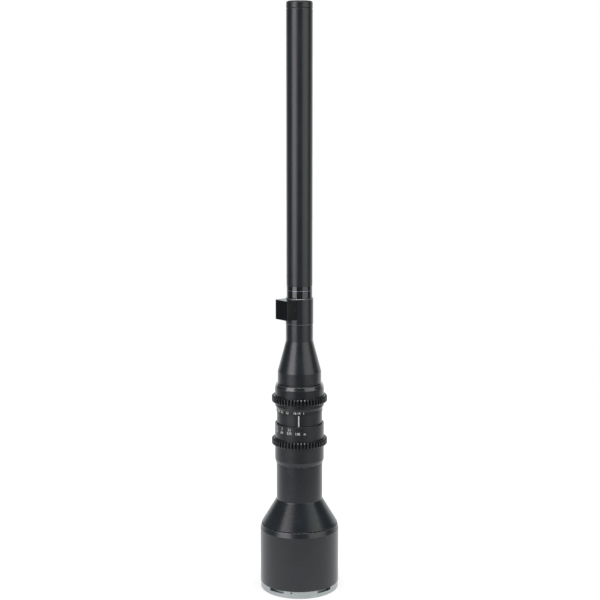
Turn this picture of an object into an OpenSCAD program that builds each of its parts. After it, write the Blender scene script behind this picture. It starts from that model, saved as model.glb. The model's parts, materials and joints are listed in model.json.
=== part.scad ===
// Probe macro lens standing on its camera mount, in millimetres.
// The optical axis is +Z. The origin is the middle of the mount's seat face.
// The front of the lens, with the scales, looks along -Y.

/* [Camera mount] */
// Outer radius of the steel mount ring
mount_r = 28.8; // [27:0.1:29.4]
// Height of the mount ring
mount_h = 5.6; // [4.5:0.1:8]
// Height of the plain lower band of the mount ring
mount_band_h = 3.4; // [2.8:0.1:3.8]
// Bevel round the mount ring's lower edge
mount_bevel = 0.6; // [0.2:0.1:1]
// Radius of the throat
throat_r = 23; // [22:0.1:23.2]
// How far the recesses of the upper band cut in
recess_depth = 2.2; // [1:0.1:2.4]
// Angle that one recess takes up
recess_arc = 25; // [10:1:32]
// Angle from the front or back of the lens to the middle of a recess
recess_spread = 38; // [30:1:50]
// Turn of the whole mount ring about the axis
mount_turn = 2; // [0:1:6]
// Radial depth of the bayonet lugs inside the throat
lug_depth = 1.8; // [1:0.1:2.2]
// Thickness of the bayonet lugs
lug_h = 1.2; // [0.9:0.1:1.6]
// Depth of the undercut that holds the lugs
undercut_depth = 0.5; // [0.3:0.05:0.6]
// Angle that one lug takes up
lug_arc = 55; // [30:1:70]
// Radius of the circle of mount screws
screw_circle_r = 25.4; // [25:0.1:25.6]
// Shank radius of a mount screw
screw_r = 1; // [0.8:0.05:1.1]
// Head radius of a mount screw
screw_head_r = 1.9; // [1.5:0.05:2.1]
// Head height of a mount screw
screw_head_h = 1.3; // [0.8:0.1:1.6]
// How far the shank reaches into the housing
screw_bite = 3; // [2:0.1:3.6]
// Radius of the locking grub screw
grub_r = 0.75; // [0.5:0.05:0.9]
// Length of the locking grub screw
grub_l = 3; // [2:0.1:4]
// Angle of the grub screw from the front of the lens
grub_angle = 14; // [8:1:18]

/* [Rear housing] */
// Outer radius of the housing
housing_r = 29.65; // [29.5:0.05:32]
// Height of the housing's straight side
housing_h = 41.2; // [30:0.1:60]
// Height of the bevel at the housing's top
housing_bevel_h = 3.8; // [2:0.1:5]
// How far the bevel draws in
housing_bevel = 0.95; // [0.4:0.05:1.2]
// Wall of the housing
housing_wall = 2.4; // [1.8:0.1:2.6]
// Thickness of the floor that takes the mount screws
housing_floor = 4; // [3.8:0.1:6]
// Outer radius of the baffle tube
baffle_r = 22.9; // [20:0.1:22.9]
// Wall of the baffle tube
baffle_wall = 0.8; // [0.6:0.1:1.2]
// Length of the baffle tube
baffle_l = 34; // [20:0.5:40]
// Radius of the hole in the baffle's lip
baffle_hole_r = 18.5; // [15:0.1:20]

/* [Bell and neck] */
// Radius of the bell's foot
bell_r = 28.5; // [28:0.1:29]
// Height of the bell's cone
bell_h = 18.85; // [12:0.05:30]
// Radius of the neck
neck_r = 17.15; // [17:0.05:17.6]
// Height of the neck
neck_h = 27.4; // [24:0.1:40]
// Wall of the bell's cone, level with the axis
bell_wall = 3; // [2.2:0.1:4]
// Length of the thread between bell and housing
bell_thread_l = 6; // [4:0.1:9]
// Radius of the rear lens
rear_lens_r = 13; // [11:0.1:13.4]
// Rim thickness of the rear lens
rear_lens_rim = 4; // [2:0.1:5]

/* [Focus] */
// Outer radius of the focus ring
focus_r = 18.2; // [18.1:0.05:18.6]
// Height of the focus ring
focus_h = 31; // [28:0.1:40]
// Height of the bevel round the focus ring's foot
focus_bevel_h = 3.1; // [2:0.1:4]
// How far that bevel draws in
focus_bevel = 1; // [0.5:0.05:1.05]
// Height from the focus ring's foot to its gear
focus_gear_z = 14.1; // [10:0.1:20]
// Outer radius of the guide barrel
guide_r = 15.7; // [15.6:0.05:15.8]
// Wall of the guide barrel
guide_wall = 1.4; // [1.2:0.05:1.5]
// Radial thickness of the cam sleeve
cam_wall = 1.2; // [1:0.05:1.25]
// Turn of the focus ring from far to near
focus_throw = 140; // [90:1:150]
// Travel of the focus carrier
focus_travel = 12; // [9:0.5:12]
// Radius of a cam pin
cam_pin_r = 1.2; // [0.8:0.05:1.25]
// Length of the focus carrier
carrier_l = 20; // [18:0.5:22]
// Wall of the focus carrier
carrier_wall = 1.5; // [1.2:0.1:2]
// Rim thickness of each lens in the carrier
focus_lens_rim = 3; // [2:0.1:4]

/* [Gears] */
// Module of both gears
gear_module = 0.8; // [0.76:0.01:0.8]
// Number of teeth of both gears
gear_teeth = 50; // [50:1:52]
// Width of the gear face
gear_face = 5; // [4:0.1:7]
// Bevel at both ends of the teeth
gear_bevel = 0.7; // [0.4:0.1:1.6]
// Share of the pitch that is tooth, at the tip
tooth_tip_share = 0.46; // [0.3:0.01:0.55]
// Share of the pitch that is tooth, at the root
tooth_root_share = 0.66; // [0.6:0.01:0.85]

/* [Index barrel] */
// Outer radius of the index barrel
index_r = 16.8; // [16.4:0.05:17.2]
// Height of the visible index barrel
index_h = 8.2; // [6.5:0.1:12]

/* [Aperture] */
// Outer radius of the aperture ring
aperture_r = 18.2; // [18.1:0.05:18.6]
// Radius of the aperture ring at its scale
scale_r = 17.37; // [17:0.01:17.6]
// Height of the scale's straight band
scale_h = 2.4; // [2:0.1:5]
// Height of the taper above the scale
taper_h = 1.7; // [1:0.1:3]
// Depth of the groove above the taper
groove_depth = 0.3; // [0.2:0.05:0.5]
// Height of the groove above the taper
groove_h = 0.4; // [0.2:0.05:0.6]
// Height from the groove to the gear
collar_band_h = 2.4; // [1:0.1:4]
// Height from the gear to the bevel
grip_band_h = 6.5; // [5:0.1:9]
// Height of the bevel round the aperture ring's top
aperture_bevel_h = 3.4; // [2:0.1:5]
// How far that bevel draws in
aperture_bevel = 1.6; // [0.8:0.05:1.7]
// Turn of the aperture ring from open to closed
aperture_throw = 60; // [45:1:60]
// Radius of the open aperture
iris_open_r = 5.6; // [5:0.1:5.6]
// Radius of the aperture when closed down
iris_closed_r = 1.96; // [1.8:0.01:2.4]
// Radius of the circle of blade pivots
pivot_circle_r = 10.1; // [10.1:0.05:10.3]
// Radius of a blade's pivot pin
pivot_pin_r = 0.45; // [0.35:0.05:0.45]
// Radius of a blade's drive pin
drive_pin_r = 0.4; // [0.3:0.05:0.4]
// Distance of a drive pin from the axis when open
drive_circle_r = 10.6; // [10.5:0.05:10.7]
// Angle from a blade's pivot back to its drive pin
drive_angle = 27; // [25:1:28]
// Thickness of a blade
blade_t = 0.25; // [0.15:0.05:0.25]
// Clear space between one blade and the next
blade_gap = 0.3; // [0.25:0.05:0.35]
// Radius of a link screw
link_r = 0.6; // [0.5:0.05:0.8]

/* [Front barrel] */
// Radius of the front barrel's cylinder
barrel_r = 15.95; // [15.8:0.05:16.2]
// Height of the front barrel's cylinder
barrel_h = 8.4; // [6:0.1:14]
// Height of the cone
cone_h = 23.1; // [16:0.1:35]
// Radius of the stem above the cone
stem_r = 9.76; // [9.6:0.02:9.9]
// Height of the stem
stem_h = 12.2; // [8:0.1:20]
// Wall of the front barrel
barrel_wall = 2; // [1.6:0.1:2.4]

/* [Port collar] */
// Outer radius of the port collar
collar_r = 9.9; // [9.8:0.05:10.2]
// Height of the port collar
collar_h = 19.4; // [18.5:0.1:26]
// Bore radius of the port collar
collar_bore_r = 8.3; // [8.2:0.05:8.4]
// Angle of the port block from the left towards the front
port_turn = 41; // [0:1:80]
// Distance from the axis to the block's outer face
port_reach = 17.5; // [16.5:0.1:20]
// Width of the block
port_w = 14; // [12.5:0.1:15]
// Height of the block
port_h = 14.5; // [13:0.1:16]
// Wall of the block
port_wall = 1.2; // [0.8:0.1:1.4]
// Corner radius of the block's upright edges
port_round = 0.6; // [0.3:0.1:1]
// Width of the micro socket
socket_w = 7.6; // [7:0.1:8]
// Thickness of the micro socket
socket_t = 2.7; // [2.4:0.1:3]
// Length of the micro socket
socket_l = 5.5; // [4:0.1:6]
// Radius of the indicator lamp
lamp_r = 0.55; // [0.3:0.05:0.8]

/* [Probe tube] */
// Outer radius of the glossy joint rings
joint_r = 9.2; // [9:0.05:9.3]
// Height of the lower glossy ring
lower_joint_h = 5.5; // [3:0.1:9]
// Height of the upper glossy ring
upper_joint_h = 3.3; // [2:0.1:8]
// Thickness of the bright washer between them
washer_h = 0.4; // [0.2:0.05:0.8]
// Outer radius of the probe tube
tube_r = 9.3; // [9.1:0.05:9.5]
// Wall of the probe tube
tube_wall = 1.1; // [0.9:0.05:1.15]
// Length of the probe tube
tube_l = 200.5; // [120:0.5:300]
// Outer radius of the relay tube
relay_r = 7.3; // [7.1:0.05:7.3]
// Wall of the relay tube
relay_wall = 0.7; // [0.5:0.05:0.8]
// Rim thickness of a relay lens
relay_rim = 3; // [2:0.1:5]

/* [Tip] */
// Thickness of the seal between tube and tip ring
seal_h = 0.5; // [0.3:0.1:1]
// How far the seal stands back from the tube's side
seal_inset = 0.35; // [0.2:0.05:0.5]
// Height of the tip ring
tip_h = 5; // [4.6:0.1:8]
// Rounding of the tip ring's upper edge
tip_round = 0.8; // [0.3:0.1:1]
// Radius of the front lens
front_lens_r = 3.4; // [2.5:0.1:3.5]
// Number of lamps round the front lens
lamp_count = 8; // [4:1:10]

/* [Hidden] */
$fn = 96;

// How far a cutting shape runs past the face it opens
over = 0.5;
// Clear space between pieces that pass each other
ring_gap = 0.3;
// Clear space all round a running fit
run_gap = 0.05;
// Clear space all round a screwed or glued fit
fit_gap = 0.04;
// Clear space all round a pin in its slot
slot_gap = 0.1;
// Thickness of the retaining rings
retainer_h = 2;
// Radial width of the retaining rings
retainer_w = 1;
// How far a glass dome stands above its rim
dome_h = 0.9;
// Number of bands that make up a glass dome
dome_steps = 8;
// Width of the shoulder that a lens rests on
seat_w = 1;

// Heights of the sections above the seat face
housing_top_z = mount_h + housing_h + housing_bevel_h;
bell_z = housing_top_z + ring_gap;
neck_z = bell_z + bell_h;
neck_top_z = neck_z + neck_h;
focus_z = neck_top_z + ring_gap;
focus_top_z = focus_z + focus_h;
index_z = focus_top_z + ring_gap;
index_top_z = index_z + index_h;
aperture_z = index_top_z + ring_gap;
taper_z = aperture_z + scale_h;
groove_z = taper_z + taper_h;
collar_band_z = groove_z + groove_h;
aperture_gear_z = collar_band_z + collar_band_h;
grip_band_z = aperture_gear_z + gear_face;
aperture_bevel_z = grip_band_z + grip_band_h;
aperture_top_z = aperture_bevel_z + aperture_bevel_h;
front_z = aperture_top_z + ring_gap;
cone_z = front_z + barrel_h;
stem_z = cone_z + cone_h;
collar_z = stem_z + stem_h;
collar_top_z = collar_z + collar_h;
washer_z = collar_top_z + lower_joint_h;
upper_joint_z = washer_z + washer_h;
tube_z = upper_joint_z + upper_joint_h;
tube_top_z = tube_z + tube_l;
tip_z = tube_top_z + seal_h;
tip_top_z = tip_z + tip_h;

// Mount and housing
lug_clear = 0.2;
lug_z = mount_h - lug_clear - lug_h;
register_l = lug_z - lug_clear;
undercut_r = throat_r + undercut_depth;
housing_bore_r = housing_r - housing_wall;
floor_top_z = mount_h + housing_floor;
floor_hole_r = baffle_r + fit_gap;
baffle_flange_h = 1;
flange_lap = 0.55;
baffle_flange_r = min(housing_bore_r - ring_gap, screw_circle_r + screw_r + flange_lap);
baffle_lip_h = 1;
baffle_z = mount_h + run_gap;
screw_slot_w = 0.5;
screw_slot_share = 0.45;
grub_socket_r = 0.4;
grub_socket_l = 1.2;
grub_z = (mount_band_h + mount_h) / 2;
grub_place = mount_turn - 90 - grub_angle;
lug_count = 3;
mount_screw_count = 4;

// Bell, guide barrel and rear lens
guide_bore_r = guide_r - guide_wall;
guide_seat_l = 7;
guide_z = neck_top_z - guide_seat_l;
guide_tongue_l = 5.3;
guide_top_z = index_z + guide_tongue_l;
bell_spigot_r = housing_bore_r - fit_gap;
bell_spigot_wall = 1.71;
bell_bore_r = min(bell_r - bell_wall, bell_spigot_r - bell_spigot_wall);
cone_bore_r = neck_r - bell_wall;
rear_lens_z = neck_z + retainer_h + ring_gap;
rear_seat_z = rear_lens_z + rear_lens_rim;
rear_seat_r = rear_lens_r - seat_w;

// Focus group
bore_r = guide_r + run_gap;
cam_r = guide_r + run_gap + cam_wall;
cam_lip_h = 4;
cam_z = focus_z + cam_lip_h;
pin_angle = 90;
pin_count = 3;
pin_rise = 8.6;
pin_z = focus_z + pin_rise;
slot_half = cam_pin_r + slot_gap;
carrier_r = guide_bore_r - run_gap;
carrier_bore_r = carrier_r - carrier_wall;
carrier_z = pin_z - carrier_l / 2;
cam_slope = atan(focus_travel / (cam_r * focus_throw * PI / 180));
cam_step_count = 20;
focus_lens_r = carrier_bore_r - fit_gap;
carrier_shoulder = 4;

// Gears
gear_pitch_r = gear_module * gear_teeth / 2;
gear_tip_r = gear_pitch_r + gear_module;
gear_root_share = 1.25;
gear_root_r = gear_pitch_r - gear_root_share * gear_module;
tooth_pitch = 360 / gear_teeth;

// Iris, from its base plate up to the cam ring
blade_count = 7;
blade_pitch = blade_t + blade_gap;
iris_rise = 7.1;
iris_z = index_top_z + iris_rise;
iris_plate_h = 1;
iris_bore_r = guide_bore_r;
iris_base_r = iris_bore_r - fit_gap;
iris_rim_w = 0.55;
iris_seat_w = 0.8;
blade_z = iris_z + iris_plate_h + blade_gap;
blades_top_z = blade_z + blade_count * blade_pitch;
cam_plate_h = 1.2;
cam_plate_r = iris_base_r - iris_rim_w - 2 * run_gap;
cam_rim_w = 1.3;
cam_rim_z = blades_top_z + cam_plate_h;
cam_rim_h = 2.3;
cam_rim_r = iris_bore_r - run_gap;
cam_hole_r = iris_open_r + ring_gap;
link_z = cam_rim_z + cam_rim_h / 2;
link_angles = [45, 135];
link_slot_half = link_r + slot_gap;
link_slot_arc = aperture_throw + 2 * asin(link_slot_half / iris_bore_r);
link_head_r = link_r + slot_gap;
link_head_l = 0.6;
iris_shift = iris_open_r - iris_closed_r;
blade_swing = 2 * asin(iris_shift / (2 * pivot_circle_r));
blade_r = iris_open_r + iris_shift + slot_gap;
blade_start = -8;
blade_end = 110;
blade_steps = 20;
blade_tip_steps = 6;
ear_r = 0.95;
arm_w = 1.4;
drive_slot_half = drive_pin_r + slot_gap;
drive_slot_steps = 16;

// Front barrel
barrel_spigot_r = iris_bore_r - fit_gap;
barrel_bore_r = barrel_spigot_r - barrel_wall / 2;
barrel_foot_z = cam_rim_z + cam_rim_h + ring_gap;
barrel_seat_z = front_z + barrel_h / 2;
barrel_lens_r = barrel_bore_r - fit_gap;
barrel_lens_rim = 4;
stem_bore_r = stem_r - barrel_wall;
stem_socket_r = collar_bore_r;
stem_socket_l = 6;
seam_bevel = 0.15;

// Port
port_z = collar_top_z - port_h;
socket_setback = 4;
socket_x = port_reach - port_wall - socket_setback;
board_t = 0.9;
board_margin = 0.4;
socket_wall = 0.3;
tongue_t = 0.6;
flex_t = 0.25;
flex_w = 3;
flex_gap = 0.1;
flex_x = relay_r + flex_gap;
flex_rise = 6.5;
flex_z = port_z + flex_rise;
flex_slot_w = flex_w + 4 * flex_gap;
flex_slot_x = flex_x + flex_t + flex_gap;
window_w = 4.8;
window_h = 3;
lamp_x = 9.5;
lamp_z = port_z + port_h / 2;

// Probe tube, relay and tip
tube_bore_r = tube_r - tube_wall;
joint_spigot_r = collar_bore_r - fit_gap;
joint_spigot_l = 6;
joint_bore_r = relay_r + fit_gap;
upper_spigot_l = 6;
upper_spigot_r = tube_bore_r - fit_gap;
joint_neck_r = tube_bore_r - fit_gap;
joint_neck_l = 5;
relay_count = 5;
relay_drop = 5.5;
relay_z = collar_top_z - relay_drop;
relay_bore_r = relay_r - relay_wall;
relay_lens_r = relay_bore_r - fit_gap;
relay_spacer_wall = 0.6;
relay_lip_h = 1;
relay_setback = 1;
relay_top_z = tube_top_z - relay_setback;
relay_spare_l = 14;
relay_stack_l = relay_top_z - relay_z - relay_lip_h - relay_spare_l;
relay_spacer_l = (relay_stack_l - relay_count * relay_rim) / (relay_count - 1);
relay_pitch = relay_rim + relay_spacer_l;
relay_stack_z = relay_z + relay_lip_h;
seal_r = tube_r - seal_inset;
seal_bore_r = tube_bore_r;
tip_spigot_l = 6;
tip_wall = 1.3;
tip_floor_h = 1.2;
tip_floor_z = tip_z + tip_floor_h;
tip_bore_r = tube_r - tip_wall;
cell_wall = 0.7;
cell_r = front_lens_r + fit_gap + cell_wall;
cell_drop = 4;
cell_inset = 0.2;
cell_z = tip_z - cell_drop;
cell_top_z = tip_top_z - cell_inset;
board_h = 0.8;
lamp_body_w = 1.4;
lamp_body_h = 0.7;
cover_inset = 0.3;
cover_top_z = tip_top_z - cover_inset;
cover_h = 1;
cover_skirt_w = 0.5;
cover_r = tip_bore_r - fit_gap;
cover_bore_r = cell_r + fit_gap;
front_lens_rim = 2;

// Solid made by turning an outline about the axis
module turned(points) {
    rotate_extrude() polygon(points);
}

// Tube between two radii and two heights
module sleeve(outer, inner, low, high) {
    turned([[inner, low], [outer, low], [outer, high], [inner, high]]);
}

// Part of a tube, centred on an angle
module sector(outer, inner, low, high, middle, arc) {
    rotate([0, 0, middle - arc / 2])
        rotate_extrude(angle = arc)
            polygon([[inner, low], [outer, low], [outer, high], [inner, high]]);
}

// Round bar that points away from the axis
module spoke(angle, height, radius, from, to) {
    rotate([0, 0, angle])
        translate([from, 0, height])
            rotate([0, 90, 0]) cylinder(r = radius, h = to - from);
}

// Half the outline of a spherical cap, from its rim at height zero to its crown
function cap_outline(base) = let (
        ball = (base * base + dome_h * dome_h) / (2 * dome_h),
        half_angle = asin(base / ball)
    )
    [
        for (i = [0 : dome_steps])
            let (a = half_angle * (1 - i / dome_steps))
            [ball * sin(a), ball * cos(a) - ball + dome_h]
    ];

// Glass disc with a plain rim and a domed face above and below
module lens(radius, rim, seat) {
    cap = cap_outline(radius - seat);
    turned(concat(
        [for (i = [dome_steps : -1 : 0]) [cap[i].x, -cap[i].y]],
        [[radius, 0], [radius, rim]],
        [for (p = cap) [p.x, rim + p.y]]
    ));
}

// Outline of a gear, four points to a tooth, with the tips past the tip circle
function gear_outline() = [
    for (i = [0 : gear_teeth - 1], corner = [0 : 3])
        let (
            at_tip = corner == 1 || corner == 2,
            side = corner < 2 ? -1 : 1,
            radius = at_tip ? gear_tip_r + over : gear_root_r,
            half = tooth_pitch / 2 * (at_tip ? tooth_tip_share : tooth_root_share),
            angle = i * tooth_pitch + side * half
        )
        [radius * cos(angle), radius * sin(angle)]
];

// Toothed band with bevelled ends
module gear_band() {
    bevel_r = gear_tip_r - gear_bevel;
    intersection() {
        linear_extrude(height = gear_face) polygon(gear_outline());
        turned([[0, 0], [bevel_r, 0], [gear_tip_r, gear_bevel], [gear_tip_r, gear_face - gear_bevel],
            [bevel_r, gear_face], [0, gear_face]]);
    }
}

// Each place of the mount screws
module at_mount_screws() {
    for (i = [0 : mount_screw_count - 1])
        rotate([0, 0, mount_turn + i * 360 / mount_screw_count]) translate([screw_circle_r, 0, 0]) children();
}

// Each place of the cam pins, with the pin along +X
module at_cam_pins() {
    for (i = [0 : pin_count - 1]) rotate([0, 0, pin_angle + i * 360 / pin_count]) children();
}

// Place of one iris blade, with its pivot on +X
module at_blade(i) {
    rotate([0, 0, i * 360 / blade_count]) children();
}

// Local frame of the port block: +X points out of the block, the origin stays on the axis
module at_port() {
    rotate([0, 0, 180 + port_turn]) children();
}

// Camera mount

module mount_ring() {
    color("silver") {
        difference() {
            turned([[throat_r, 0], [mount_r - mount_bevel, 0], [mount_r, mount_bevel],
                [mount_r, mount_h], [undercut_r, mount_h], [undercut_r, register_l],
                [throat_r, register_l]]);
            for (face = [-90, 90], side = [-1, 1])
                sector(mount_r + over, mount_r - recess_depth, mount_band_h, mount_h + over,
                    mount_turn + face + side * recess_spread, recess_arc);
            at_mount_screws() translate([0, 0, -over]) {
                cylinder(r = screw_r + fit_gap, h = mount_h + 2 * over);
                cylinder(r = screw_head_r + fit_gap, h = screw_head_h + over);
            }
            spoke(grub_place, grub_z, grub_r, mount_r - grub_l, mount_r + over);
        }
        for (i = [0 : lug_count - 1])
            sector(undercut_r + over, throat_r - lug_depth, lug_z, lug_z + lug_h,
                mount_turn + i * 360 / lug_count, lug_arc);
    }
}

module mount_screws() {
    slot_l = 2 * screw_head_r * screw_slot_share;
    color("gainsboro") at_mount_screws() {
        difference() {
            translate([0, 0, fit_gap]) cylinder(r = screw_head_r, h = screw_head_h - fit_gap);
            for (turn = [0, 90])
                rotate([0, 0, turn]) translate([-slot_l / 2, -screw_slot_w / 2, 0])
                    cube([slot_l, screw_slot_w, screw_head_h / 2]);
        }
        translate([0, 0, screw_head_h]) cylinder(r = screw_r, h = mount_h + screw_bite - screw_head_h);
    }
}

module grub_screw() {
    color("dimgray") difference() {
        spoke(grub_place, grub_z, grub_r - fit_gap, mount_r - grub_l, mount_r - fit_gap);
        spoke(grub_place, grub_z, grub_socket_r, mount_r - grub_socket_l, mount_r + over);
    }
}

// Rear housing

module rear_housing() {
    color("#1d1e20") difference() {
        turned([[floor_hole_r, mount_h], [housing_r, mount_h], [housing_r, mount_h + housing_h],
            [housing_r - housing_bevel, housing_top_z], [housing_bore_r, housing_top_z],
            [housing_bore_r, floor_top_z], [floor_hole_r, floor_top_z]]);
        at_mount_screws() translate([0, 0, mount_h - over])
            cylinder(r = screw_r + fit_gap, h = screw_bite + fit_gap + over);
    }
}

module rear_baffle() {
    top = baffle_z + baffle_l;
    color("#0e0e0f") turned([[baffle_r - baffle_wall, baffle_z], [baffle_r, baffle_z],
        [baffle_r, floor_top_z], [baffle_flange_r, floor_top_z],
        [baffle_flange_r, floor_top_z + baffle_flange_h], [baffle_r, floor_top_z + baffle_flange_h],
        [baffle_r, top], [baffle_hole_r, top], [baffle_hole_r, top - baffle_lip_h],
        [baffle_r - baffle_wall, top - baffle_lip_h]]);
}

// Bell, neck and rear lens

module bell() {
    cone_top_z = neck_z - bell_wall / 2;
    color("#1d1e20") turned([[bell_bore_r, housing_top_z - bell_thread_l],
        [bell_spigot_r, housing_top_z - bell_thread_l], [bell_spigot_r, bell_z], [bell_r, bell_z],
        [neck_r, neck_z], [neck_r, neck_top_z], [bore_r, neck_top_z], [bore_r, guide_z],
        [guide_bore_r, guide_z], [guide_bore_r, rear_seat_z + seat_w], [rear_seat_r, rear_seat_z + seat_w],
        [rear_seat_r, rear_seat_z], [rear_lens_r + fit_gap, rear_seat_z],
        [rear_lens_r + fit_gap, cone_top_z], [cone_bore_r, cone_top_z], [bell_bore_r, bell_z]]);
}

module rear_lens() {
    color("lightsteelblue") translate([0, 0, rear_lens_z])
        lens(rear_lens_r, rear_lens_rim, retainer_w + fit_gap);
}

module rear_lens_ring() {
    color("#0e0e0f") sleeve(rear_lens_r, rear_lens_r - retainer_w, rear_lens_z - retainer_h, rear_lens_z);
}

// Focus group

module guide_barrel() {
    low = pin_z;
    high = pin_z + focus_travel;
    color("#3a3b3d") difference() {
        sleeve(guide_r, guide_bore_r, guide_z, guide_top_z);
        at_cam_pins() {
            translate([guide_bore_r - over, -slot_half, low])
                cube([guide_wall + 2 * over, 2 * slot_half, high - low]);
            for (height = [low, high]) spoke(0, height, slot_half, guide_bore_r - over, guide_r + over);
        }
    }
}

module focus_ring() {
    color("#1d1e20") difference() {
        union() {
            turned([[0, focus_z], [focus_r - focus_bevel, focus_z], [focus_r, focus_z + focus_bevel_h],
                [focus_r, focus_top_z], [0, focus_top_z]]);
            translate([0, 0, focus_z + focus_gear_z]) gear_band();
        }
        translate([0, 0, focus_z - over]) cylinder(r = bore_r, h = focus_h + 2 * over);
        translate([0, 0, cam_z]) cylinder(r = cam_r + fit_gap, h = focus_h);
    }
}

// Corners of the helical slot's section at one step, low inner corner first
function cam_section(step) = let (
        end_share = slot_half / (cam_r * focus_throw * PI / 180),
        share = (1 + 2 * end_share) * step / cam_step_count - end_share,
        angle = -share * focus_throw,
        middle = pin_z + share * focus_travel,
        half = slot_half / cos(cam_slope),
        inner = guide_r - over,
        outer = cam_r + over
    )
    [
        for (corner = [[inner, -half], [outer, -half], [outer, half], [inner, half]])
            [corner.x * cos(angle), corner.x * sin(angle), middle + corner.y]
    ];

// Helical slot as a swept four-sided bar that runs past the pin at both limits
module cam_slot() {
    last = 4 * cam_step_count;
    polyhedron(
        points = [for (step = [0 : cam_step_count]) each cam_section(step)],
        faces = concat(
            [[0, 1, 2, 3]],
            [for (step = [0 : cam_step_count - 1], k = [0 : 3]) each let (
                a = 4 * step + k,
                b = 4 * step + (k + 1) % 4
            ) [[b, a, b + 4], [a, a + 4, b + 4]]],
            [[last + 3, last + 2, last + 1, last]]
        )
    );
}

module focus_cam_sleeve() {
    color("#8a7a4a") difference() {
        sleeve(cam_r, bore_r, cam_z, focus_top_z - run_gap);
        at_cam_pins() cam_slot();
    }
}

module focus_carrier() {
    top = carrier_z + carrier_l;
    seat_r = focus_lens_r - seat_w;
    color("#2a2b2d") difference() {
        turned([[carrier_bore_r, carrier_z], [carrier_r, carrier_z], [carrier_r, top], [carrier_bore_r, top],
            [carrier_bore_r, pin_z + carrier_shoulder], [seat_r, pin_z + carrier_shoulder],
            [seat_r, pin_z - carrier_shoulder], [carrier_bore_r, pin_z - carrier_shoulder]]);
        at_cam_pins() spoke(0, pin_z, cam_pin_r + fit_gap / 2, carrier_bore_r, carrier_r + over);
    }
}

module cam_pins() {
    color("goldenrod") at_cam_pins()
        spoke(0, pin_z, cam_pin_r, carrier_bore_r + fit_gap, cam_r - slot_gap);
}

module focus_lens_rear() {
    color("lightsteelblue") translate([0, 0, pin_z - carrier_shoulder - focus_lens_rim])
        lens(focus_lens_r, focus_lens_rim, seat_w + fit_gap);
}

module focus_lens_front() {
    color("lightsteelblue") translate([0, 0, pin_z + carrier_shoulder])
        lens(focus_lens_r, focus_lens_rim, seat_w + fit_gap);
}

module focus_lens_ring() {
    low = pin_z + carrier_shoulder + focus_lens_rim;
    color("#0e0e0f") sleeve(focus_lens_r, focus_lens_r - retainer_w, low, low + retainer_h);
}

// Index barrel: a visible ring that sits on the guide barrel and carries the aperture ring

module index_barrel() {
    seat_r = iris_bore_r - iris_seat_w;
    color("#1d1e20") difference() {
        turned([[guide_r + fit_gap, index_z], [index_r, index_z], [index_r, index_top_z],
            [guide_r, index_top_z], [guide_r, front_z], [iris_bore_r, front_z], [iris_bore_r, iris_z],
            [seat_r, iris_z], [seat_r, guide_top_z], [guide_r + fit_gap, guide_top_z]]);
        for (angle = link_angles)
            sector(guide_r + over, iris_bore_r - over, link_z - link_slot_half, link_z + link_slot_half,
                angle + aperture_throw / 2, link_slot_arc);
    }
}

// Aperture ring, iris and the screws that join them

module aperture_ring() {
    groove_r = aperture_r - 2 * groove_depth;
    color("#1d1e20") difference() {
        union() {
            turned([[0, aperture_z], [scale_r, aperture_z], [scale_r, taper_z],
                [groove_r + groove_depth / 2, groove_z], [groove_r, groove_z], [groove_r, collar_band_z],
                [aperture_r, collar_band_z], [aperture_r, aperture_bevel_z],
                [aperture_r - aperture_bevel, aperture_top_z], [0, aperture_top_z]]);
            translate([0, 0, aperture_gear_z]) gear_band();
        }
        translate([0, 0, aperture_z - over]) cylinder(r = bore_r, h = aperture_top_z - aperture_z + 2 * over);
        for (angle = link_angles) {
            spoke(angle, link_z, link_r + fit_gap, bore_r - over, aperture_r + over);
            spoke(angle, link_z, link_head_r + fit_gap, aperture_r - link_head_l, aperture_r + over);
        }
    }
}

module link_screws() {
    color("dimgray")
        for (angle = link_angles) difference() {
            union() {
                spoke(angle, link_z, link_r, cam_rim_r - cam_rim_w + slot_gap, aperture_r - link_head_l);
                spoke(angle, link_z, link_head_r, aperture_r - link_head_l, aperture_r - slot_gap);
            }
            rotate([0, 0, angle])
                translate([aperture_r - link_head_l + slot_gap, -link_head_r, link_z - slot_gap])
                    cube([link_head_l, 2 * link_head_r, 2 * slot_gap]);
        }
}

// Place of a blade's drive pin as the ring turns, with the pivot on +X and the ring held still
function drive_place(share) = let (
        swing = share * blade_swing,
        reach_x = drive_circle_r * cos(drive_angle) - pivot_circle_r,
        reach_y = -drive_circle_r * sin(drive_angle),
        x = pivot_circle_r + reach_x * cos(swing) - reach_y * sin(swing),
        y = reach_x * sin(swing) + reach_y * cos(swing),
        back = -share * aperture_throw
    )
    [x * cos(back) - y * sin(back), x * sin(back) + y * cos(back)];

// Point beside the drive pin's path, to the left or right by half the slot's width
function drive_edge(share, side) = let (
        step = 0.01,
        ahead = drive_place(share + step) - drive_place(share - step),
        here = drive_place(share)
    )
    here + side * drive_slot_half * [-ahead.y, ahead.x] / norm(ahead);

// Curved slot that turns one blade at a steady rate as the cam ring turns
module drive_slot() {
    outline = concat(
        [for (i = [0 : drive_slot_steps]) drive_edge(i / drive_slot_steps, 1)],
        [for (i = [drive_slot_steps : -1 : 0]) drive_edge(i / drive_slot_steps, -1)]
    );
    depth = cam_plate_h + 2 * over;
    linear_extrude(height = depth) polygon(outline);
    for (share = [0, 1]) translate(drive_place(share)) cylinder(r = drive_slot_half, h = depth);
}

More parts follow.
